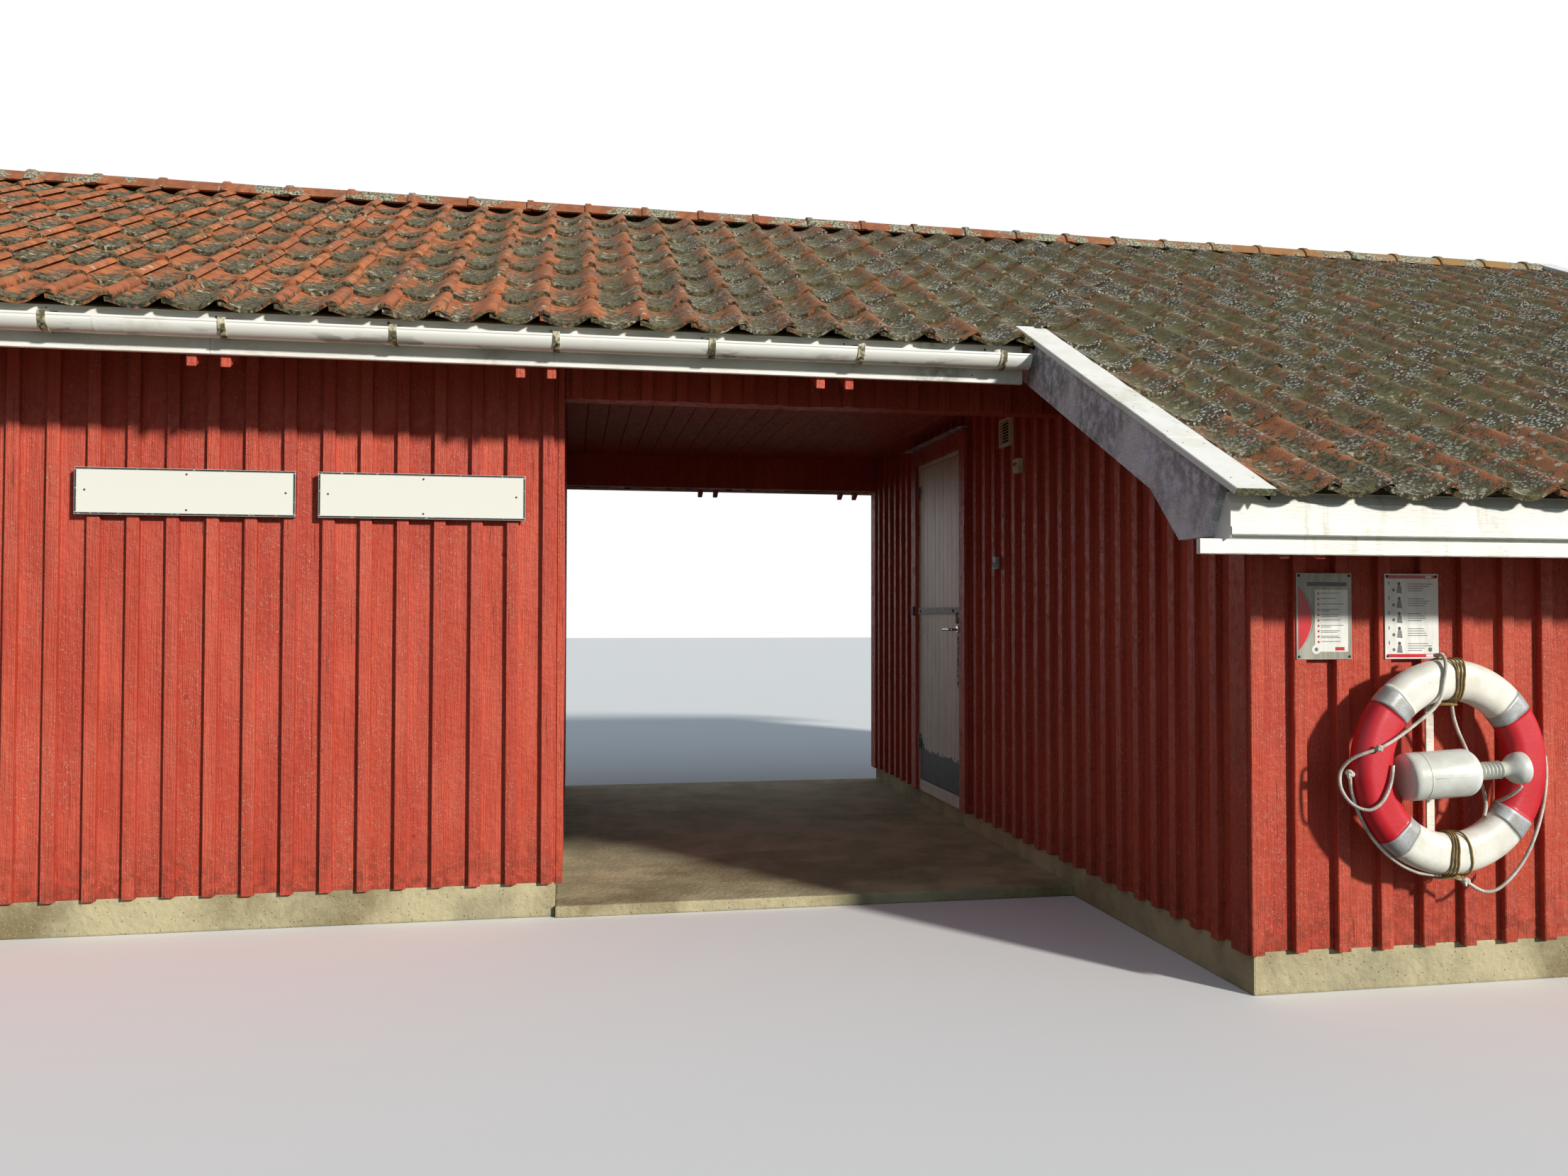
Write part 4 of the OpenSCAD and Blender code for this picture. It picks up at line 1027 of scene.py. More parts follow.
# Gutter brackets: cream-coated straps under the gutter, hooked over its bead
# in front and fixed to the fascia behind, grown over with green-black algae.
strap_cream = two_tone("strap_cream", 0.7, (214, 204, 172), (88, 84, 58), (34, 0.36, 0.58, 5), 0.0012)
strap_w = 0.026
strap_in = gutter_r + 0.0003
strap_out = strap_in + 0.004
crook = [(0.014 - strap_in, 0.013), (0.004 - strap_out, 0.014), (-strap_out, 0.009)]
hook = [(-strap_in, 0.008), (0.002 - strap_in, 0.0105), (0.014 - strap_in, 0.0105)]
strap_section = (crook + half_round(strap_out) + [(strap_out, 0.034), (strap_in, 0.034)]
                 + half_round(strap_out, strap_in / strap_out)[::-1] + hook)
points, faces = [], []
dice = random.Random(43)
for k in range(11):
    x = 0.620 - bracket_gap * k
    gutter_part(strap_section, x - strap_w / 2, x + strap_w / 2)
    curl = -strap_out - dice.uniform(0.004, 0.009)
    gutter_part([(-strap_out - 0.0004, -0.028), (curl, -0.031), (curl, -0.034), (0.002 - strap_out, -0.033)],
                x + strap_w / 2 - 0.007, x + strap_w / 2)
made("gutter_straps", points, faces, strap_cream, ["gutter_brackets"])

# Eaves of the right section: no gutter; a folded white sheet drips from under
# the tiles over the fascia board, and a narrow board closes the rafter ends.
tail_right = front - 0.435
face_right = tail_right - fascia_t
board_low = under_z(tail_right) + 0.012
board_high = board_low + 0.046
sheet_low = board_high + 0.010
sheet_high = sheet_low + 0.100
sheet_out = face_right - 0.026
verge_x = 0.775
barge_t = 0.028
lip_z = sheet_low + 0.022
start_x = verge_x + barge_t
points, faces = [], []
along_x(points, faces, [(tail_right, board_high), (face_right, board_high), (face_right, sheet_high + 0.03),
                        (tail_right, sheet_high + 0.036)], start_x, right_edge)
fold = [(face_right, sheet_low), (sheet_out + 0.004, sheet_low), (sheet_out, sheet_low + 0.003),
        (sheet_out, lip_z), (sheet_out + 0.006, lip_z + 0.006),
        (sheet_out + 0.006, sheet_high - 0.004), (sheet_out + 0.009, sheet_high),
        (face_right - 0.001, sheet_high + 0.026), (face_right, sheet_high + 0.026)]
for x0, x1 in ((start_x, 2.86), (2.86, right_edge)):
    along_x(points, faces, fold[::-1], x0 + butt, x1 - butt)
for x0, x1 in ((0.715, 3.42), (3.42, right_edge)):
    solid(points, faces, (x0 + butt, face_right, board_low), (x1 - butt, tail_right, board_high), 0.003)
made("right_fascia_boards", points, faces, fascia_white, ["right_fascia"])

# The folded sheet's end is turned back along the barge board and closes the gap.
points, faces = [], []
along_x(points, faces, [(tail_right + 0.09, board_high), (sheet_out + 0.005, board_high),
                        (sheet_out + 0.005, sheet_high - 0.004), (face_right, sheet_high + 0.026),
                        (tail_right + 0.09, sheet_high + 0.050)], start_x - butt, start_x + 0.0006)
made("fascia_return", points, faces, fascia_white)

# Verges: a barge board on edge hides the roof boards, a flat cover board lies
# on it over the tile edge; each in lengths butted together and nailed in pairs.
weathered = white_finish("weathered_white", 0.6, 21.0, (226, 226, 224), (128, 124, 114))
cover_v = 0.022 / math.cos(angle)


def on_slope(y, lift):
    return (y, under_z(y) + lift)


def sloped_board(points, faces, x, y, low, high, square=False):
    """A board along one slope between two lifts above the rafters' underside;
    its lower end may be cut square to the slope."""
    shift = (high - low) * math.sin(angle) * math.cos(angle) if square else 0.0
    section = [on_slope(y[0] + shift, low), on_slope(y[1], low), on_slope(y[1], high), on_slope(y[0], high)]
    edge = 0.0025
    ends = ((x[0], edge), (x[0] + edge, 0.0), (x[1] - edge, 0.0), (x[1], edge))
    skin(points, faces, [[(at_x, y, z + (push if k < 2 else -push)) for k, (y, z) in enumerate(section)]
                         for at_x, push in ends])


def nails(places):
    """Adds flat nail heads, almost flush; places are on the cover boards."""
    for x, y, lift in places:
        centre = Vector((x, *on_slope(y, lift)))
        side = -1 if y > ridge else 1
        along = Vector((0, down.y * side, down.z))
        out = Vector((0, outward.y * side, outward.z))
        rim = [centre + Vector((u, 0, 0)) + along * v for u, v in oval(0.0035, 0.0035, 8)]
        fan(pins, pin_faces, centre + out * 0.0008, rim)


cover_x = (0.765, 0.895)
cover_y = (tail_right - 0.140, step - 0.355)
step_low = tile_lift + 0.026
barge_h = 0.176
barge_z = step_low - barge_h / math.cos(angle)
barge_y = front - 0.435 - 0.105 + 0.070
cut = barge_h * math.sin(angle)
points, faces = [], []
along_x(points, faces, [on_slope(barge_y, step_low + 0.001), on_slope(barge_y + cut, barge_z),
                        on_slope(cover_y[1], barge_z), on_slope(cover_y[1], step_low)], verge_x, start_x)
along_x(points, faces, [on_slope(barge_y + cut + 0.001, barge_z - 0.0015), (barge_y + cut, sheet_low),
                        (barge_y + 0.250, sheet_low), on_slope(barge_y + 0.435, barge_z - 0.0015)],
        verge_x + 0.0015, start_x - 0.002)
made("step_barge", points, faces, mildewed, ["step_verge_boards"])

points, faces, pins, pin_faces = [], [], [], []
for y0, y1, inset, jog in ((cover_y[0], -2.745, 0.08, 0.0), (-2.745, -2.408, 0.05, 0.0012),
                           (-2.408, cover_y[1], 0.08, -0.0008)):
    low = step_low + jog
    sloped_board(points, faces, cover_x, (y0 + 0.0012, y1), low, low + cover_v, square=not jog)
    nails([(x, y, low + cover_v) for y in (y0 + inset, y1 - 0.05)
           for x in (cover_x[0] + 0.028, cover_x[1] - 0.030)])
lower_end = (3, 7, 11)
made("step_cover", points, faces, [cover_white, moss_grown],
     choose=[int(i in lower_end) for i in range(len(faces))])

# A packing batten of bare timber lifts the step's cover board.
points, faces = [], []
sloped_board(points, faces, (start_x + 0.004, start_x + 0.030), (cover_y[0] + 0.062, cover_y[1]),
             step_low - 0.022, step_low - 0.0005, square=True)
made("step_packing", points, faces, raw_timber)

cover_low = tile_top + 0.0009
barge_low = cover_low - (0.190 + 0.058) / math.cos(angle)
nail_gap = 0.62
for side, name, y_front in ((-1, "left", tail_left), (1, "right", tail_right)):
    points, faces = [], []
    edge = side * right_edge
    barge_ends = sorted((edge, edge - side * barge_t))
    cover_ends = sorted((edge + side * 0.010, edge - side * 0.130))
    for y0, y1 in ((y_front, ridge), (ridge, tail_back)):
        joint = (y0 + y1) / 2 + 0.21
        for a, b in ((y0, joint - butt), (joint + butt, y1)) if y1 - y0 > 3 else ((y0, y1),):
            sloped_board(points, faces, barge_ends, (a, b), barge_low, cover_low - 0.0002)
            sloped_board(points, faces, cover_ends, (a, b), cover_low, cover_low + cover_v)
            count = max(2, round((b - a) / nail_gap))
            for k in range(count + 1):
                y = a + 0.05 + (b - a - 0.1) * k / count
                nails([(x, y, cover_low + cover_v) for x in (cover_ends[0] + 0.03, cover_ends[1] - 0.03)])
    made(name + "_verge", points, faces, weathered, [name + "_verge_boards"])
made("cover_nails", pins, pin_faces, rust)

# Door in the passage wall: a white boarded leaf in a white frame, its foot
# behind a dark sheet-metal kick plate from which the white paint has flaked.
def slab(x, y, z, number=0):
    """A box given by its reach along X, Y and Z, and its finish by number."""
    return ((x[0], y[0], z[0]), (x[1], y[1], z[1]), number)


def blocks(name, boxes, finishes, rounding, replaces=(), body="building"):
    """One piece of eased boxes."""
    form = bmesh.new()
    for low, high, number in boxes:
        low, high = Vector(low), Vector(high)
        place = Matrix.Translation((low + high) / 2) @ Matrix.Diagonal((*(high - low), 1))
        for v in bmesh.ops.create_cube(form, size=1, matrix=place)["verts"]:
            for face in v.link_faces:
                face.material_index = number
    ease(form, form.edges[:], rounding)
    mesh = bpy.data.meshes.new(name)
    form.to_mesh(mesh)
    form.free()
    return piece_of(name, mesh, finishes, replaces, body)


def turned(profile, place, sides=24):
    """Adds a turned form: profile holds radius and height pairs, place sets it in the scene."""
    rings = [[tuple(place @ Vector((u, v, h))) for u, v in oval(r, r, sides)] for r, h in profile]
    skin(points, faces, rings, flip=True)


def facing(at, side, quarter):
    """Turns the height of a turned form a quarter turn about an axis, at a place."""
    return Matrix.Translation(at) @ Matrix.Rotation(quarter * math.pi / 2, 4, side)


frame_y = (0.42, 1.31)
frame_z = (0.195, 2.285)
frame_t = 0.0275
inner_y = (frame_y[0] + frame_t, frame_y[1] - frame_t)
inner_z = (frame_z[0] + frame_t, frame_z[1] - frame_t)
leaf_x = (1.152, 1.192)
leaf_y = (0.4545, 1.2775)
leaf_z = (0.2275, 2.2525)
kick_z = leaf_z[0] + 0.19

door_white, tree = new_finish("door_white", 0.42)
dirt = soiling(tree, 0.42, 31.0)
runs = cloud(tree, 55, 0.5, 0.68, 4, (1, 1, 0.04))
tone = mix(tree, cloud(tree, 2.4, 0.4, 0.7, 2), (236, 235, 224), (222, 216, 196))
tone = layers(tree, tone, (runs, 0.35, (150, 142, 122)), (dirt["Film"], 0.4, (140, 134, 118)),
              (dirt["Specks"], 0.6, (90, 80, 64)))
climb = ramp(tree, axis(tree, "Y"), leaf_y[1] - 0.11, leaf_y[1], 0.0, 0.085)
edge = combine(tree, "ADD", kick_z - 0.035, combine(tree, "MULTIPLY", noise(tree, 34, 5), 0.09))
flaked = combine(tree, "LESS_THAN", axis(tree, "Z"), combine(tree, "ADD", edge, climb))
metal = mix(tree, cloud(tree, 14, 0.35, 0.65), (52, 56, 74), (34, 38, 54))
metal = mix(tree, specks(tree, 60, 0.12, 0.3), metal, (120, 116, 110))
paint(tree, mix(tree, flaked, tone, metal), combine(tree, "SUBTRACT", runs, flaked), 0.0008)
frame_white = white_finish("frame_white", 0.5, 37.0, (230, 226, 212), (140, 130, 106))

# Leaf: ten boards with grooves between them, the kick plate over their feet
board_w = (leaf_y[1] - leaf_y[0]) / 10
groove_w, groove_d = 0.006, 0.0045
near_x = leaf_x[0]
face_line = [(near_x + 0.002, leaf_y[0]), (near_x, leaf_y[0] + 0.002)]
for k in range(1, 10):
    y = leaf_y[0] + k * board_w
    face_line += [(near_x, y - groove_w / 2), (near_x + groove_d, y - 0.0008),
                  (near_x + groove_d, y + 0.0008), (near_x, y + groove_w / 2)]
face_line += [(near_x, leaf_y[1] - 0.002), (near_x + 0.002, leaf_y[1]), (leaf_x[1], leaf_y[1]),
              (leaf_x[1], leaf_y[0])]
points, faces = [], []
skin(points, faces, [[(x, y, z) for x, y in face_line] for z in leaf_z], flip=True)
made("leaf_boards", points, faces, door_white, ["door_leaf"], body="door")
blocks("kick_plate", [slab((near_x - 0.0012, near_x + 0.0004), (leaf_y[0] + 0.012, leaf_y[1] - 0.012),
                           (leaf_z[0] + 0.004, kick_z))],
       door_white, 0.0004, body="door")

# Frame posts and head with their stops, over a pale sill block
post_x = (half_passage, half_passage + 0.105)
stop_x = (leaf_x[1] + 0.005, post_x[1])
stop_w = 0.014
boxes = [slab(post_x, (frame_y[0], inner_y[0]), frame_z), slab(post_x, (inner_y[1], frame_y[1]), frame_z),
         slab(post_x, inner_y, (inner_z[1], frame_z[1])), slab(post_x, inner_y, (frame_z[0], inner_z[0])),
         slab(stop_x, (inner_y[0] - 0.001, inner_y[0] + stop_w), inner_z),
         slab(stop_x, (inner_y[1] - stop_w, inner_y[1] + 0.001), inner_z),
         slab(stop_x, inner_y, (inner_z[1] - stop_w, inner_z[1] + 0.001)),
         slab((half_passage, half_passage + wall_t), frame_y, (plinth_top, frame_z[0] - 0.0005))]
blocks("door_frame_posts", boxes, frame_white, 0.002, ["door_frame"])

# Red boards round the frame, and the thin drip board over them
trim_w = 0.1
trim_x = (half_passage - 0.022, half_passage)
trim_top = frame_z[1] + trim_w
gap = 0.0006
trim = blocks("door_trim_boards",
              [slab(trim_x, (frame_y[0] - trim_w, frame_y[0] - gap), (plinth_top, trim_top)),
               slab(trim_x, (frame_y[1] + gap, frame_y[1] + trim_w), (plinth_top, trim_top)),
               slab(trim_x, frame_y, (frame_z[1] + gap, trim_top))],
              red_paint, 0.002, ["door_trim"])
count = len(trim.data.polygons)
store(trim, "board", "FACE", [0.2 + 0.3 * (i * 3 // count) for i in range(count)])
drip = [(half_passage - 0.072, trim_top), (half_passage, trim_top + 0.004),
        (half_passage, trim_top + 0.020), (half_passage - 0.070, trim_top + 0.008)]
reach = trim_w + 0.015
points, faces = [], []
skin(points, faces, [[(x, y, z) for x, z in drip] for y in (frame_y[0] - reach, frame_y[1] + reach)])
made("drip_board", points, faces, mildewed)

# Door furniture: hinges, zinc-coated locking bar with black bolts and padlock,
# bright lever on a round rose, and a painted strip that guards the lock.
zinc = two_tone("zinc", 0.58, (138, 140, 138), (98, 100, 100), (38, 0.35, 0.65), 0.0005, 0.6)
bright = two_tone("bright_lever", 0.2, (214, 214, 210), (150, 148, 142), (60, 0.4, 0.7), metallic=1.0)
black_iron = two_tone("black_iron", 0.6, (34, 33, 34), (86, 76, 66), (80, 0.5, 0.7), 0.0005, 0.3)
flaking = two_tone("flaking_cream", 0.7, (208, 200, 172), (96, 66, 44), (42, 0.5, 0.54, 5), -0.0012)

hinge_at = (1.142, 1.28)
hinge_r, hinge_l = 0.007, 0.045
hinge_profile = [(hinge_r * 0.9, 0), (hinge_r, 0.001), (hinge_r, hinge_l - 0.001), (hinge_r * 0.9, hinge_l)]
for name, body, lift, plate_y, plate_x in (
        ("frame_hinges", "building", 0.0, (hinge_at[1], 1.31), half_passage),
        ("leaf_hinges", "door", hinge_l + 0.0003, (leaf_y[1] - 0.03, hinge_at[1]), near_x)):
    points, faces = [], []
    for low in (0.4275 + lift, 2.0525 + lift):
        turned(hinge_profile, Matrix.Translation((*hinge_at, low)), 20)
        solid(points, faces, (half_passage - 0.004, plate_y[0], low), (plate_x, plate_y[1], low + hinge_l))
    made(name, points, faces, zinc, body=body)

bar_z = 1.3255
bar_x = (1.134, 1.140)
blocks("locking_bar", [slab(bar_x, (0.4305, 1.2595), (bar_z - 0.020, bar_z + 0.020))],
       zinc, 0.0012, ["door_bar"], body="door")
blocks("bar_keeper", [slab((1.116, trim_x[0]), (1.324, 1.384), (bar_z - 0.030, bar_z + 0.030), 1)],
       [zinc, black_iron], 0.002)
blocks("padlock_body", [slab((1.126, 1.146), (0.4405, 0.4805), (1.2475, 1.2835), 1)],
       [zinc, black_iron], 0.004, body="door")
points, faces = [], []
for y in (0.5445, 1.2175):
    turned([(0.008, 0), (0.008, 0.012)], facing((bar_x[1], y, bar_z), "Y", 1))
    turned([(0.009, 0), (0.009, 0.0025), (0.0065, 0.005), (0.0025, 0.006)],
           facing((bar_x[0], y, bar_z), "Y", -1))
shackle_y, shackle_r = 0.4605, 0.012
shackle = [Vector((1.13, shackle_y - shackle_r, z)) for z in (1.28, 1.3)]
shackle += [Vector((1.13, shackle_y - shackle_r * math.cos(a), 1.3 + shackle_r * math.sin(a)))
            for a in [math.pi * k / 10 for k in range(1, 10)]]
shackle += [Vector((1.13, shackle_y + shackle_r, z)) for z in (1.3, 1.28)]
tube(points, faces, shackle, oval(0.003, 0.003, 12), side=Vector((1, 0, 0)))
made("bar_bolts", points, faces, black_iron, body="door", smooth=35)

lever_at = Vector((near_x, 0.4995, 1.2125))
points, faces = [], []
turned([(0.026, 0), (0.026, 0.005), (0.022, 0.009), (0.013, 0.010)], facing(lever_at, "Y", -1), 32)
made("lever_rose", points, faces, bright, body="door", smooth=35)
bend = 0.014
lever_out = -0.052
path = [Vector((-0.0105 - 0.003 * k, 0, 0)) for k in range(10)]
path += [Vector((lever_out + bend - bend * math.sin(a), bend - bend * math.cos(a), 0))
         for a in [math.pi / 2 * k / 8 for k in range(9)]]
path += [Vector((lever_out, y, 0)) for y in (0.03, 0.05, 0.08, 0.11, 0.124, 0.127)]
points, faces = [], []
tube(points, faces, [lever_at + p for p in path], oval(0.0075, 0.0088, 20), side=Vector((0, 0, 1)))
made("lever_grip", points, faces, bright, ["door_lever"], body="lever", smooth=50)

dice = random.Random(61)
rungs = 24
rings = []
for k in range(rungs + 1):
    z = 0.865 + 0.315 * k / rungs
    near = 0.468 + dice.uniform(-0.0012, 0.0012)
    far = 0.510 + dice.uniform(-0.0012, 0.0012)
    section = ((1.1478, near), (1.1478, far), (1.1498, far), (1.1498, 0.474), (1.1518, 0.474), (1.1518, near))
    rings.append([(x, y, z) for x, y in section])
points, faces = [], []
skin(points, faces, rings)
made("lock_guard", points, faces, flaking, body="door")

# Cream plastic louvre, and a weatherproof socket box with its two outlets
cream = soiled("cream_plastic", 0.5, 0.6, 43.0, (222, 212, 178), None, None,
               (0.7, (150, 138, 104)), (0.6, (90, 80, 60)))
# Dark patches that stand for the shade in openings: painted shade.
painted_shade_dark = two_tone("painted_shade_recess", 0.8, (34, 31, 26), (58, 52, 42), (60,))

vent_y, vent_z = (-0.408, -0.250), (2.190, 2.338)
rim = 0.014
vent_x = (half_passage - 0.022, half_passage)
hole_y, hole_z = (vent_y[0] + rim, vent_y[1] - rim), (vent_z[0] + rim, vent_z[1] - rim)
boxes = [slab(vent_x, (vent_y[0], hole_y[0]), vent_z), slab(vent_x, (hole_y[1], vent_y[1]), vent_z),
         slab(vent_x, hole_y, (vent_z[0], hole_z[0])), slab(vent_x, hole_y, (hole_z[1], vent_z[1])),
         # Behind the slats, a dark sheet of painted shade.
         slab((half_passage - 0.004, half_passage), hole_y, hole_z, 1)]
blocks("vent_rim", boxes, [cream, painted_shade_dark], 0.0015, ["vent_grille"])
points, faces = [], []
slats = 8
pitch = (hole_z[1] - hole_z[0]) / slats
for k in range(slats):
    low = hole_z[0] + k * pitch
    section = [(vent_x[0] + 0.001, low + 0.08 * pitch), (half_passage - 0.004, low + 0.62 * pitch),
               (half_passage - 0.004, low + 0.80 * pitch), (vent_x[0] + 0.001, low + 0.34 * pitch)]
    skin(points, faces, [[(x, y, z) for x, z in section] for y in hole_y], caps=False)
made("vent_slats", points, faces, cream)

socket_y, socket_z = (-0.540, -0.470), (2.028, 2.102)
socket_x = half_passage - 0.032
lid_x, lid_z = (socket_x, socket_x + 0.006), (socket_z[0] + 0.022, socket_z[1] - 0.006)
boxes = [slab((socket_x + 0.004, half_passage), socket_y, socket_z),
         slab(lid_x, (socket_y[0] + 0.004, -0.507), lid_z),
         slab(lid_x, (-0.503, socket_y[1] - 0.004), lid_z)]
blocks("socket_box", boxes, cream, 0.0022, ["wall_boxes"])
points, faces = [], []
# The outlets are dark discs of painted shade.
for y in (-0.521, -0.489):
    turned([(0.0095, 0), (0.0095, 0.0004)], facing((socket_x, y, socket_z[0] + 0.046), "Y", -1))
made("socket_outlets", points, faces, painted_shade_dark)

# Key box: a grey-blue body with a keypad cover, on a pale hanging loop
blue_grey = two_tone("blue_grey", 0.45, (176, 196, 210), (128, 144, 158), (50, 0.42, 0.62))
key_y, key_z = (-0.197, -0.153), (1.547, 1.613)
key_x = half_passage - 0.026
blocks("key_box", [slab((key_x + 0.003, half_passage), key_y, key_z),
                   slab((key_x, key_x + 0.005), (key_y[0] + 0.005, key_y[1] - 0.005),
                        (key_z[0] + 0.006, key_z[0] + 0.038), 1)],
       [blue_grey, zinc], 0.0022)
arch = [Vector((key_x + 0.004, -0.175 - 0.013 * math.cos(a), key_z[1] - 0.001 + 0.013 * math.sin(a)))
        for a in [math.pi * k / 14 for k in range(15)]]
points, faces = [], []
tube(points, faces, arch, oval(0.0038, 0.0038, 12), side=Vector((1, 0, 0)))
made("key_loop", points, faces, cream, smooth=180)

# Name boards: thick white faces in thin dark frames, on four screws each
sign_white = soiled("sign_white", 0.35, 0.2, 51.0, (228, 229, 219), None, None,
                    (0.4, (196, 192, 176)), (0.4, (110, 104, 90)))
sign_dark = two_tone("sign_dark", 0.5, (26, 26, 28), (150, 148, 142), (70, 0.58, 0.66, 5))
sign_w, sign_h, sign_gap = 0.84, 0.19, 0.09
sign_front = step - 0.022
sign_z = (1.89 - sign_h, 1.89)
edge_w = 0.009
face_z = (sign_z[0] + edge_w, sign_z[1] - edge_w)
deep = (sign_front, step)
boxes, screws = [], []
for k in range(2):
    x1 = -half_passage - 0.164 - k * (sign_w + sign_gap)
    x0 = x1 - sign_w
    face_x = (x0 + edge_w, x1 - edge_w)
    boxes += [slab(face_x, (sign_front + 0.0015, step), face_z),
              slab((x0, x1), deep, (sign_z[0], face_z[0]), 1),
              slab((x0, x1), deep, (face_z[1], sign_z[1]), 1),
              slab((x0, face_x[0]), deep, face_z, 1), slab((face_x[1], x1), deep, face_z, 1)]
    screws += [(x, sign_z[0] + sign_h * 0.52) for x in (x0 + 0.038, x1 - 0.038)]
    screws += [(x0 + sign_w / 2, z) for z in (sign_z[0] + 0.022, sign_z[1] - 0.022)]
blocks("name_board_faces", boxes, [sign_white, sign_dark], 0.0012, ["name_boards"])
points, faces = [], []
for x, z in screws:
    turned([(0.0045, 0), (0.0045, 0.0008), (0.003, 0.0018)], facing((x, sign_front + 0.0015, z), "X", 1), 14)
made("name_board_screws", points, faces, rust)

# Notices: two printed sheets with plain layouts of lines and blocks, each
# held by a dark screw at its four corners.
notice_x = (half_passage + 0.179, half_passage + 0.518)
notice_w, notice_h = 0.210, 0.297
notice_z = (1.446 - notice_h, 1.446)
notice_y = (front - 0.004, front)
inks = [two_tone(name, rough, low, high, (30, 0.35, 0.65, 3, (1, 1, 0.2))) for name, low, high, rough in (
    ("sheet_white", (238, 239, 234), (222, 222, 214), 0.25),
    ("sheet_grey", (172, 172, 158), (142, 140, 124), 0.25),
    ("print_red", (206, 34, 44), (182, 40, 46), 0.25),
    ("print_grey", (126, 128, 126), (96, 98, 96), 0.3),
    ("print_dark", (44, 42, 38), (66, 62, 56), 0.3))]
white_ink, grey_ink, red_ink, line_ink, dark_ink = range(5)
blocks("notice_sheets", [slab((notice_x[0], notice_x[0] + notice_w), notice_y, notice_z, grey_ink),
                         slab((notice_x[1], notice_x[1] + notice_w), notice_y, notice_z, white_ink)],
       inks, 0.0008, ["notices"])
points, faces, choose = [], [], []


def printed(sheet, corners, ink, layer=1):
    """A flat printed shape; corners are measured from the sheet's lower left corner."""
    first = len(points)
    points.extend((notice_x[sheet] + u, notice_y[0] - 0.00012 * layer, notice_z[0] + v) for u, v in corners)
    faces.append(tuple(range(first, first + len(corners))))
    choose.append(ink)


def bar(sheet, u0, v0, u1, v1, ink, layer=1):
    printed(sheet, [(u0, v0), (u1, v0), (u1, v1), (u0, v1)], ink, layer)


def dot(sheet, u, v, r, ink, layer=2, sides=14):
    printed(sheet, [(u + a, v + b) for a, b in oval(r, r, sides)], ink, layer)


def swoop(wide, low, high, steps):
    return [(0.006 + wide * math.sin(math.pi * k / 20) ** 0.8, low + high * k / 20) for k in steps]


dice = random.Random(71)
printed(0, [(0.006, 0.030)] + swoop(0.052, 0.030, 0.222, range(1, 20)) + [(0.006, 0.252)], red_ink)
outline = swoop(0.060, 0.026, 0.230, range(3, 19))
printed(0, outline + [(u - 0.003, v) for u, v in outline[::-1]], line_ink)
bar(0, 0.070, 0.026, 0.196, 0.240, white_ink)
bar(0, 0.040, 0.252, 0.192, 0.266, dark_ink)
for k in range(10):
    v = 0.226 - 0.0185 * k
    dot(0, 0.083, v, 0.0042, red_ink)
    bar(0, 0.092, v + 0.0005, 0.092 + dice.uniform(0.06, 0.095), v + 0.003, line_ink, 2)
    if dice.random() < 0.6:
        bar(0, 0.092, v - 0.005, 0.092 + dice.uniform(0.03, 0.08), v - 0.0025, line_ink, 2)
bar(0, 0.146, 0.030, 0.182, 0.042, red_ink, 2)
dot(0, 0.074, 0.034, 0.016, white_ink, 2, 24)
dot(0, 0.074, 0.034, 0.007, line_ink, 3)

bar(1, 0.006, 0.280, 0.204, 0.292, red_ink)
bar(1, 0.160, 0.2815, 0.184, 0.2905, white_ink, 2)
bar(1, 0.006, 0.005, 0.204, 0.017, red_ink)
bar(1, 0.160, 0.0065, 0.188, 0.0155, white_ink, 2)
for k in range(5):
    v = 0.246 - 0.052 * k
    bar(1, 0.014, v + 0.012, 0.018, v + 0.024, dark_ink)
    dot(1, 0.056, v + 0.016, 0.006, dark_ink)
    printed(1, [(0.046, v - 0.016), (0.068, v - 0.018), (0.064, v + 0.010), (0.050, v + 0.010)], line_ink)
    dot(1, 0.034, v - 0.006, 0.006, line_ink)
    for row in range(4):
        h = v + 0.014 - 0.008 * row
        bar(1, 0.090, h, 0.090 + dice.uniform(0.05, 0.1), h + 0.0026, line_ink)
dot(1, 0.176, 0.032, 0.008, line_ink)
made("notice_print", points, faces, inks, choose=choose)

points, faces = [], []
for x in notice_x:
    for u in (0.009, notice_w - 0.009):
        for z in (notice_z[0] + 0.009, notice_z[1] - 0.009):
            turned([(0.0048, 0), (0.0048, 0.0012), (0.003, 0.0026)],
                   facing((x + u, notice_y[0], z), "X", 1), 14)
made("notice_screws", points, faces, black_iron)

# Lifebuoy: a moulded ring, white above and below, red at both sides, with
# grey reflecting bands stuck round it where the colours meet.
buoy_white = soiled("buoy_white", 0.42, 0.3, 61.0, (238, 236, 226), (222, 217, 202), (7, 0.4, 0.66),
                    (0.5, (170, 158, 132)), (0.6, (96, 84, 66)), (150, 2), 0.0004)
buoy_red, tree = new_finish("buoy_red", 0.4)
tone = mix(tree, cloud(tree, 6, 0.38, 0.66), (196, 18, 36), (204, 40, 52))
tone = layers(tree, tone, (specks(tree, 90, 0.1, 0.12), 0.6, (232, 170, 160)))
paint(tree, tone, noise(tree, 150, 2), 0.0004)
reflecting, tree = new_finish("reflecting_band", 0.35, 0.25)
cellular = put(tree, "TexVoronoi", {"Vector": here(tree), "Scale": 260.0}).outputs["Distance"]
tone = mix(tree, cellular, (198, 201, 203), (160, 164, 168))
paint(tree, layers(tree, tone, (cloud(tree, 18, 0.45, 0.6, 5), 0.5, (150, 144, 128))))

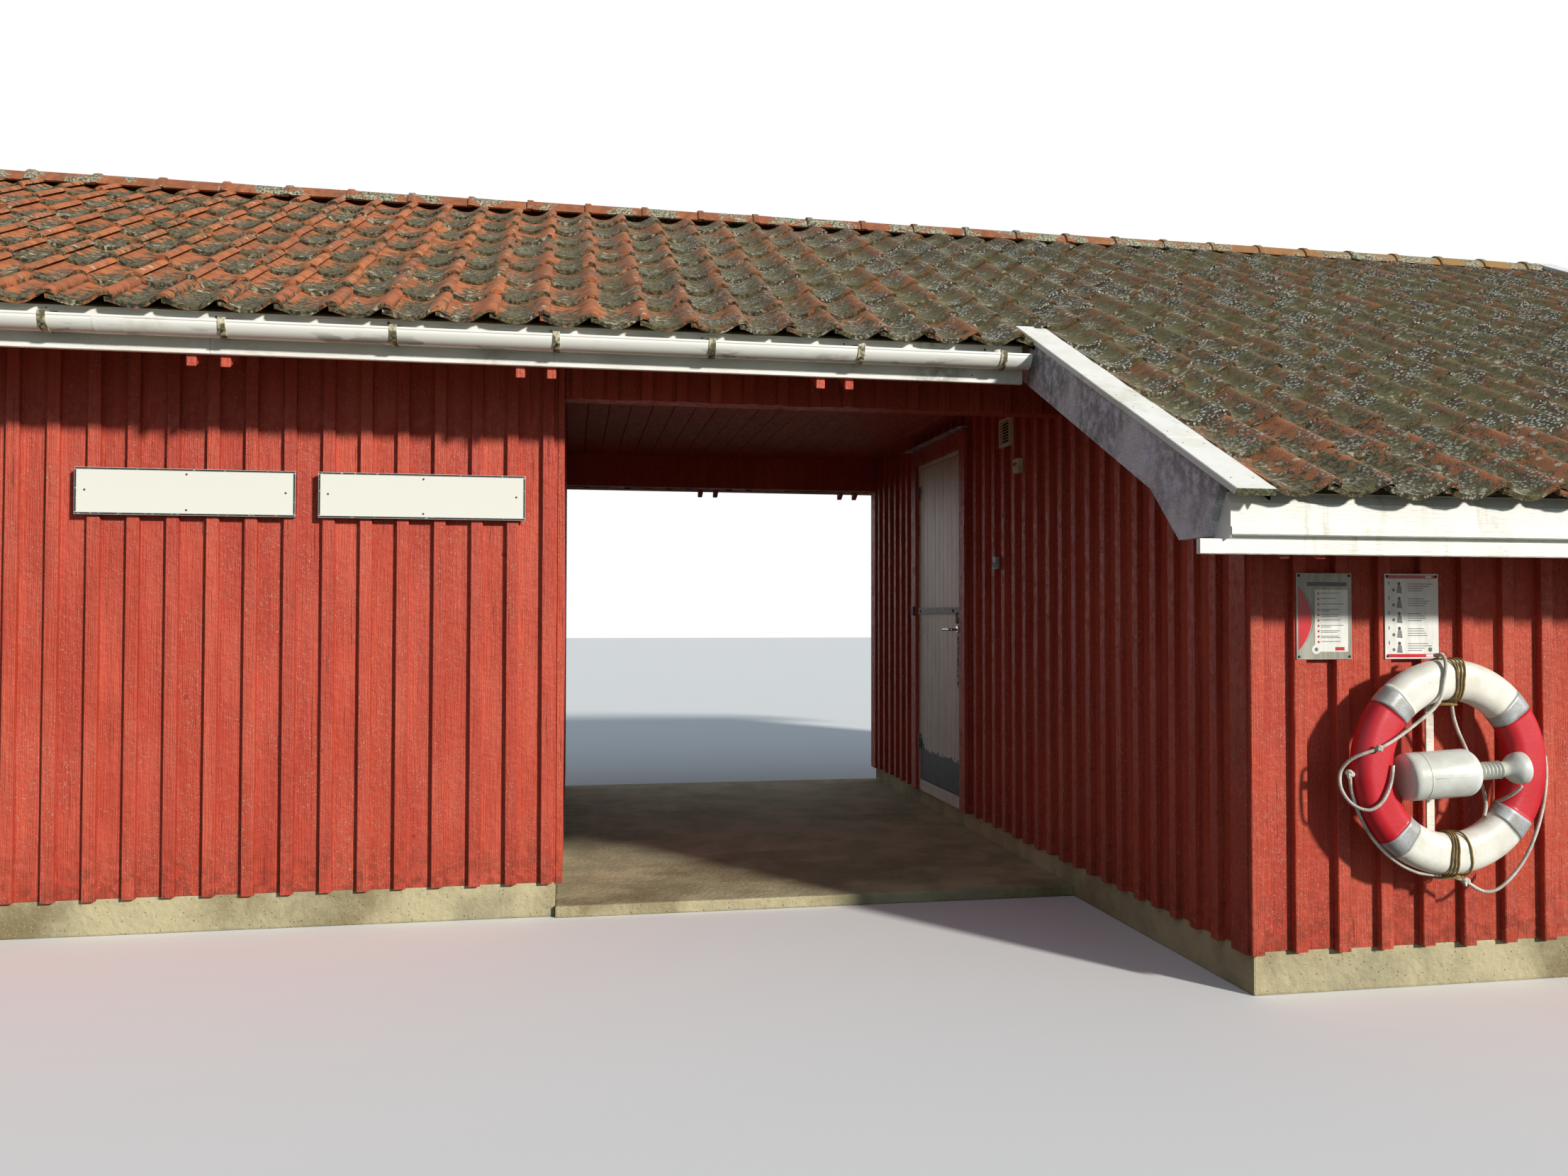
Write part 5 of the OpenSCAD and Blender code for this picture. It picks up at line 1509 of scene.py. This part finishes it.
ring_mid, ring_half, ring_round = 0.295, 0.0225, 0.0475
ring_at = Vector((ring_middle.x, front - 0.060 - ring_round, ring_middle.z))
half_turn = [-math.pi / 2 + math.pi * k / 18 for k in range(19)]
ring_section = [(ring_half + ring_round * math.cos(a), ring_round * math.sin(a)) for a in half_turn]
ring_section += [(-u, out) for u, out in ring_section[::-1]]


def on_ring(degrees, u, out):
    """A place on the ring: u along the radius from its middle line, out from the wall."""
    a = math.radians(degrees)
    r = ring_mid + u
    return ring_at + Vector((r * math.cos(a), -out, r * math.sin(a)))


band_turns = (41.0, 135.6, 229.5, 320.0, 401.0)
band_half = 5.6
band_swell = 0.0007
rings, choose = [], []
for k in range(4):
    stop = band_turns[k] + band_half
    for start, stop, finish, swell in ((band_turns[k] - band_half, stop, 2, band_swell),
                                       (stop, band_turns[k + 1] - band_half, k % 2, 0.0)):
        count = max(3, round((stop - start) / 2.0))
        for i in range(count + 1):
            turn = start + (stop - start) * i / count
            rings.append([])
            for u, out in ring_section:
                grow = 1 + swell / math.hypot(u, out)
                rings[-1].append(on_ring(turn, u * grow, out * grow))
            choose += [finish] * len(ring_section)
points, faces = [], []
skin(points, faces, rings, flip=True, caps=False, loop=True)
choose = choose[len(ring_section):] + [1] * len(ring_section)
made("lifebuoy_ring", points, faces, [buoy_white, buoy_red, reflecting], ["lifebuoy"],
     smooth=180, choose=choose)

# Lashings: tarred yellow twine, wound round the ring and the bracket at the
# top and bottom, where the grab line is knotted.
twine, tree = new_finish("twine", 0.8)
laid = put(tree, "TexWave", {"Vector": here(tree), "Scale": 160.0, "Distortion": 3.0},
           wave_type="BANDS", bands_direction="DIAGONAL").outputs["Color"]
tone = mix(tree, laid, (196, 166, 98), (128, 98, 48))
paint(tree, layers(tree, tone, (cloud(tree, 40, 0.4, 0.6), 0.6, (92, 70, 40))), laid, 0.0007)
twine_r = 0.0032
twine_section = oval(twine_r, twine_r, 8)

points, faces = [], []
for start, turns, gain, tilt in ((83.5, 3, 2.3, 1.6), (93.5, 1, 1.0, -3.2), (265.5, 3, 2.4, -1.8),
                                 (275.5, 1, 0.8, 3.0)):
    line = []
    for k in range(turns * 36 + 1):
        a = math.tau * k / 36
        u = (ring_half + (ring_round + twine_r)) * math.cos(a)
        out = (ring_round + twine_r * 0.9) * math.sin(a)
        bulge = 1.0 + 0.10 * abs(math.sin(2 * a))
        line.append(on_ring(start + gain * k / 36 + tilt * math.sin(a), u * bulge, out * bulge))
    tube(points, faces, line, twine_section)
for x, y, z in ((-0.008, -0.078, 0.213), (0.010, -0.078, -0.374)):
    for k in range(3):
        loop = []
        for a in [math.tau * i / 24 for i in range(25)]:
            rise = 0.006 * (k - 1) + 0.004 * math.sin(a + k)
            loop.append(ring_middle + Vector((x + 0.056 * math.cos(a), y - 0.042 * math.sin(a), z + rise)))
        tube(points, faces, loop, twine_section, side=Vector((0, 0, 1)))
made("ring_lashings", points, faces, twine, smooth=180)

# Knots of the grab line, each a short overhand turn drawn tight
points, faces = [], []
knot_section = [(u * 0.9, v * 0.9) for u, v in cord_section]
for *at, size, turn in ((-0.380, -0.116, -0.016, 0.012, 0.4), (-0.018, -0.098, 0.372, 0.011, 1.2),
                        (0.058, -0.110, -0.392, 0.012, 0.0), (-0.310, -0.171, 0.073, 0.008, 0.9)):
    place = Matrix.Translation(ring_middle + Vector(at)) @ Matrix.Rotation(turn, 4, "Y")
    knot = [place @ (Vector((math.sin(a) + 2 * math.sin(2 * a), -math.sin(3 * a),
                             math.cos(a) - 2 * math.cos(2 * a))) * size / 3)
            for a in [math.tau * k / 60 for k in range(61)]]
    tube(points, faces, knot, knot_section)
made("grab_line_knots", points, faces, cord_white, smooth=180)

# Bottle that holds the rescue line: blown white plastic, a seam round its
# base, a bellows neck and a funnel whose mouth is closed by a cap.
bottle_white = soiled("bottle_white", 0.38, 0.3, 71.0, (226, 228, 222), (208, 208, 196), (9, 0.38, 0.64, 3),
                      (0.5, (160, 150, 124)), (0.6, (96, 88, 70)), (60, 2), 0.0005)
bottle_place = (Matrix.Translation(ring_middle + Vector((-0.202, -0.142, -0.028)))
                @ Matrix.Rotation(math.radians(-6.5), 4, "Z") @ Matrix.Rotation(math.radians(86), 4, "Y"))
profile = [(0.040, 0.0015), (0.062, 0.0), (0.071, 0.002), (0.0765, 0.007), (0.0793, 0.015), (0.080, 0.026),
           (0.080, 0.054), (0.0812, 0.0555), (0.0812, 0.0575), (0.0794, 0.059), (0.0796, 0.064),
           (0.0798, 0.11), (0.0798, 0.16), (0.0798, 0.204)]
profile += [(0.080 - 0.046 * (1 - math.cos(a)), 0.206 + 0.042 * math.sin(a))
            for a in [math.radians(10 * k) for k in range(1, 10)]]
neck_r, rib_r, ribs, rib_gap, neck_from = 0.025, 0.031, 7, 0.013, 0.250
for k in range(ribs):
    low = neck_from + 0.003 + k * rib_gap
    profile += [(neck_r, low), (neck_r + 0.003, low + 0.0016), (rib_r - 0.0012, low + 0.003),
                (rib_r, low + 0.005), (rib_r - 0.0012, low + 0.007), (neck_r + 0.003, low + 0.0086),
                (neck_r, low + 0.0102)]
bell = neck_from + ribs * rib_gap + 0.008
profile += [(0.0262, bell), (0.0270, bell + 0.006)]
profile += [(0.0270 + 0.0262 * math.sin(math.pi / 2 * k / 8) ** 1.3, bell + 0.006 + 0.046 * k / 8)
            for k in range(1, 9)]
mouth = bell + 0.072
profile += [(0.054, mouth - 0.012), (0.054, mouth - 0.003), (0.0525, mouth - 0.0005), (0.048, mouth),
            (0.045, mouth - 0.004), (0.030, mouth - 0.006), (0.004, mouth - 0.0065)]
points, faces = [], []
turned(profile, bottle_place, 56)
made("line_bottle", points, faces, bottle_white, ["line_container"], smooth=38)

# Parting line that the mould left along both sides of the bottle
points, faces = [], []
for side in (-1, 1):
    line = [bottle_place @ Vector((0.0, side * (0.0798 + 0.0001), h)) for h in (0.066, 0.12, 0.17, 0.203)]
    tube(points, faces, line, oval(0.0011, 0.0008, 6))
made("bottle_seam", points, faces, bottle_white, smooth=180)

bracket_white = white_finish("bracket_white", 0.55, 81.0, (232, 228, 214), (150, 112, 74))
dress("lifebuoy_bracket", bracket_white, 0.0012)
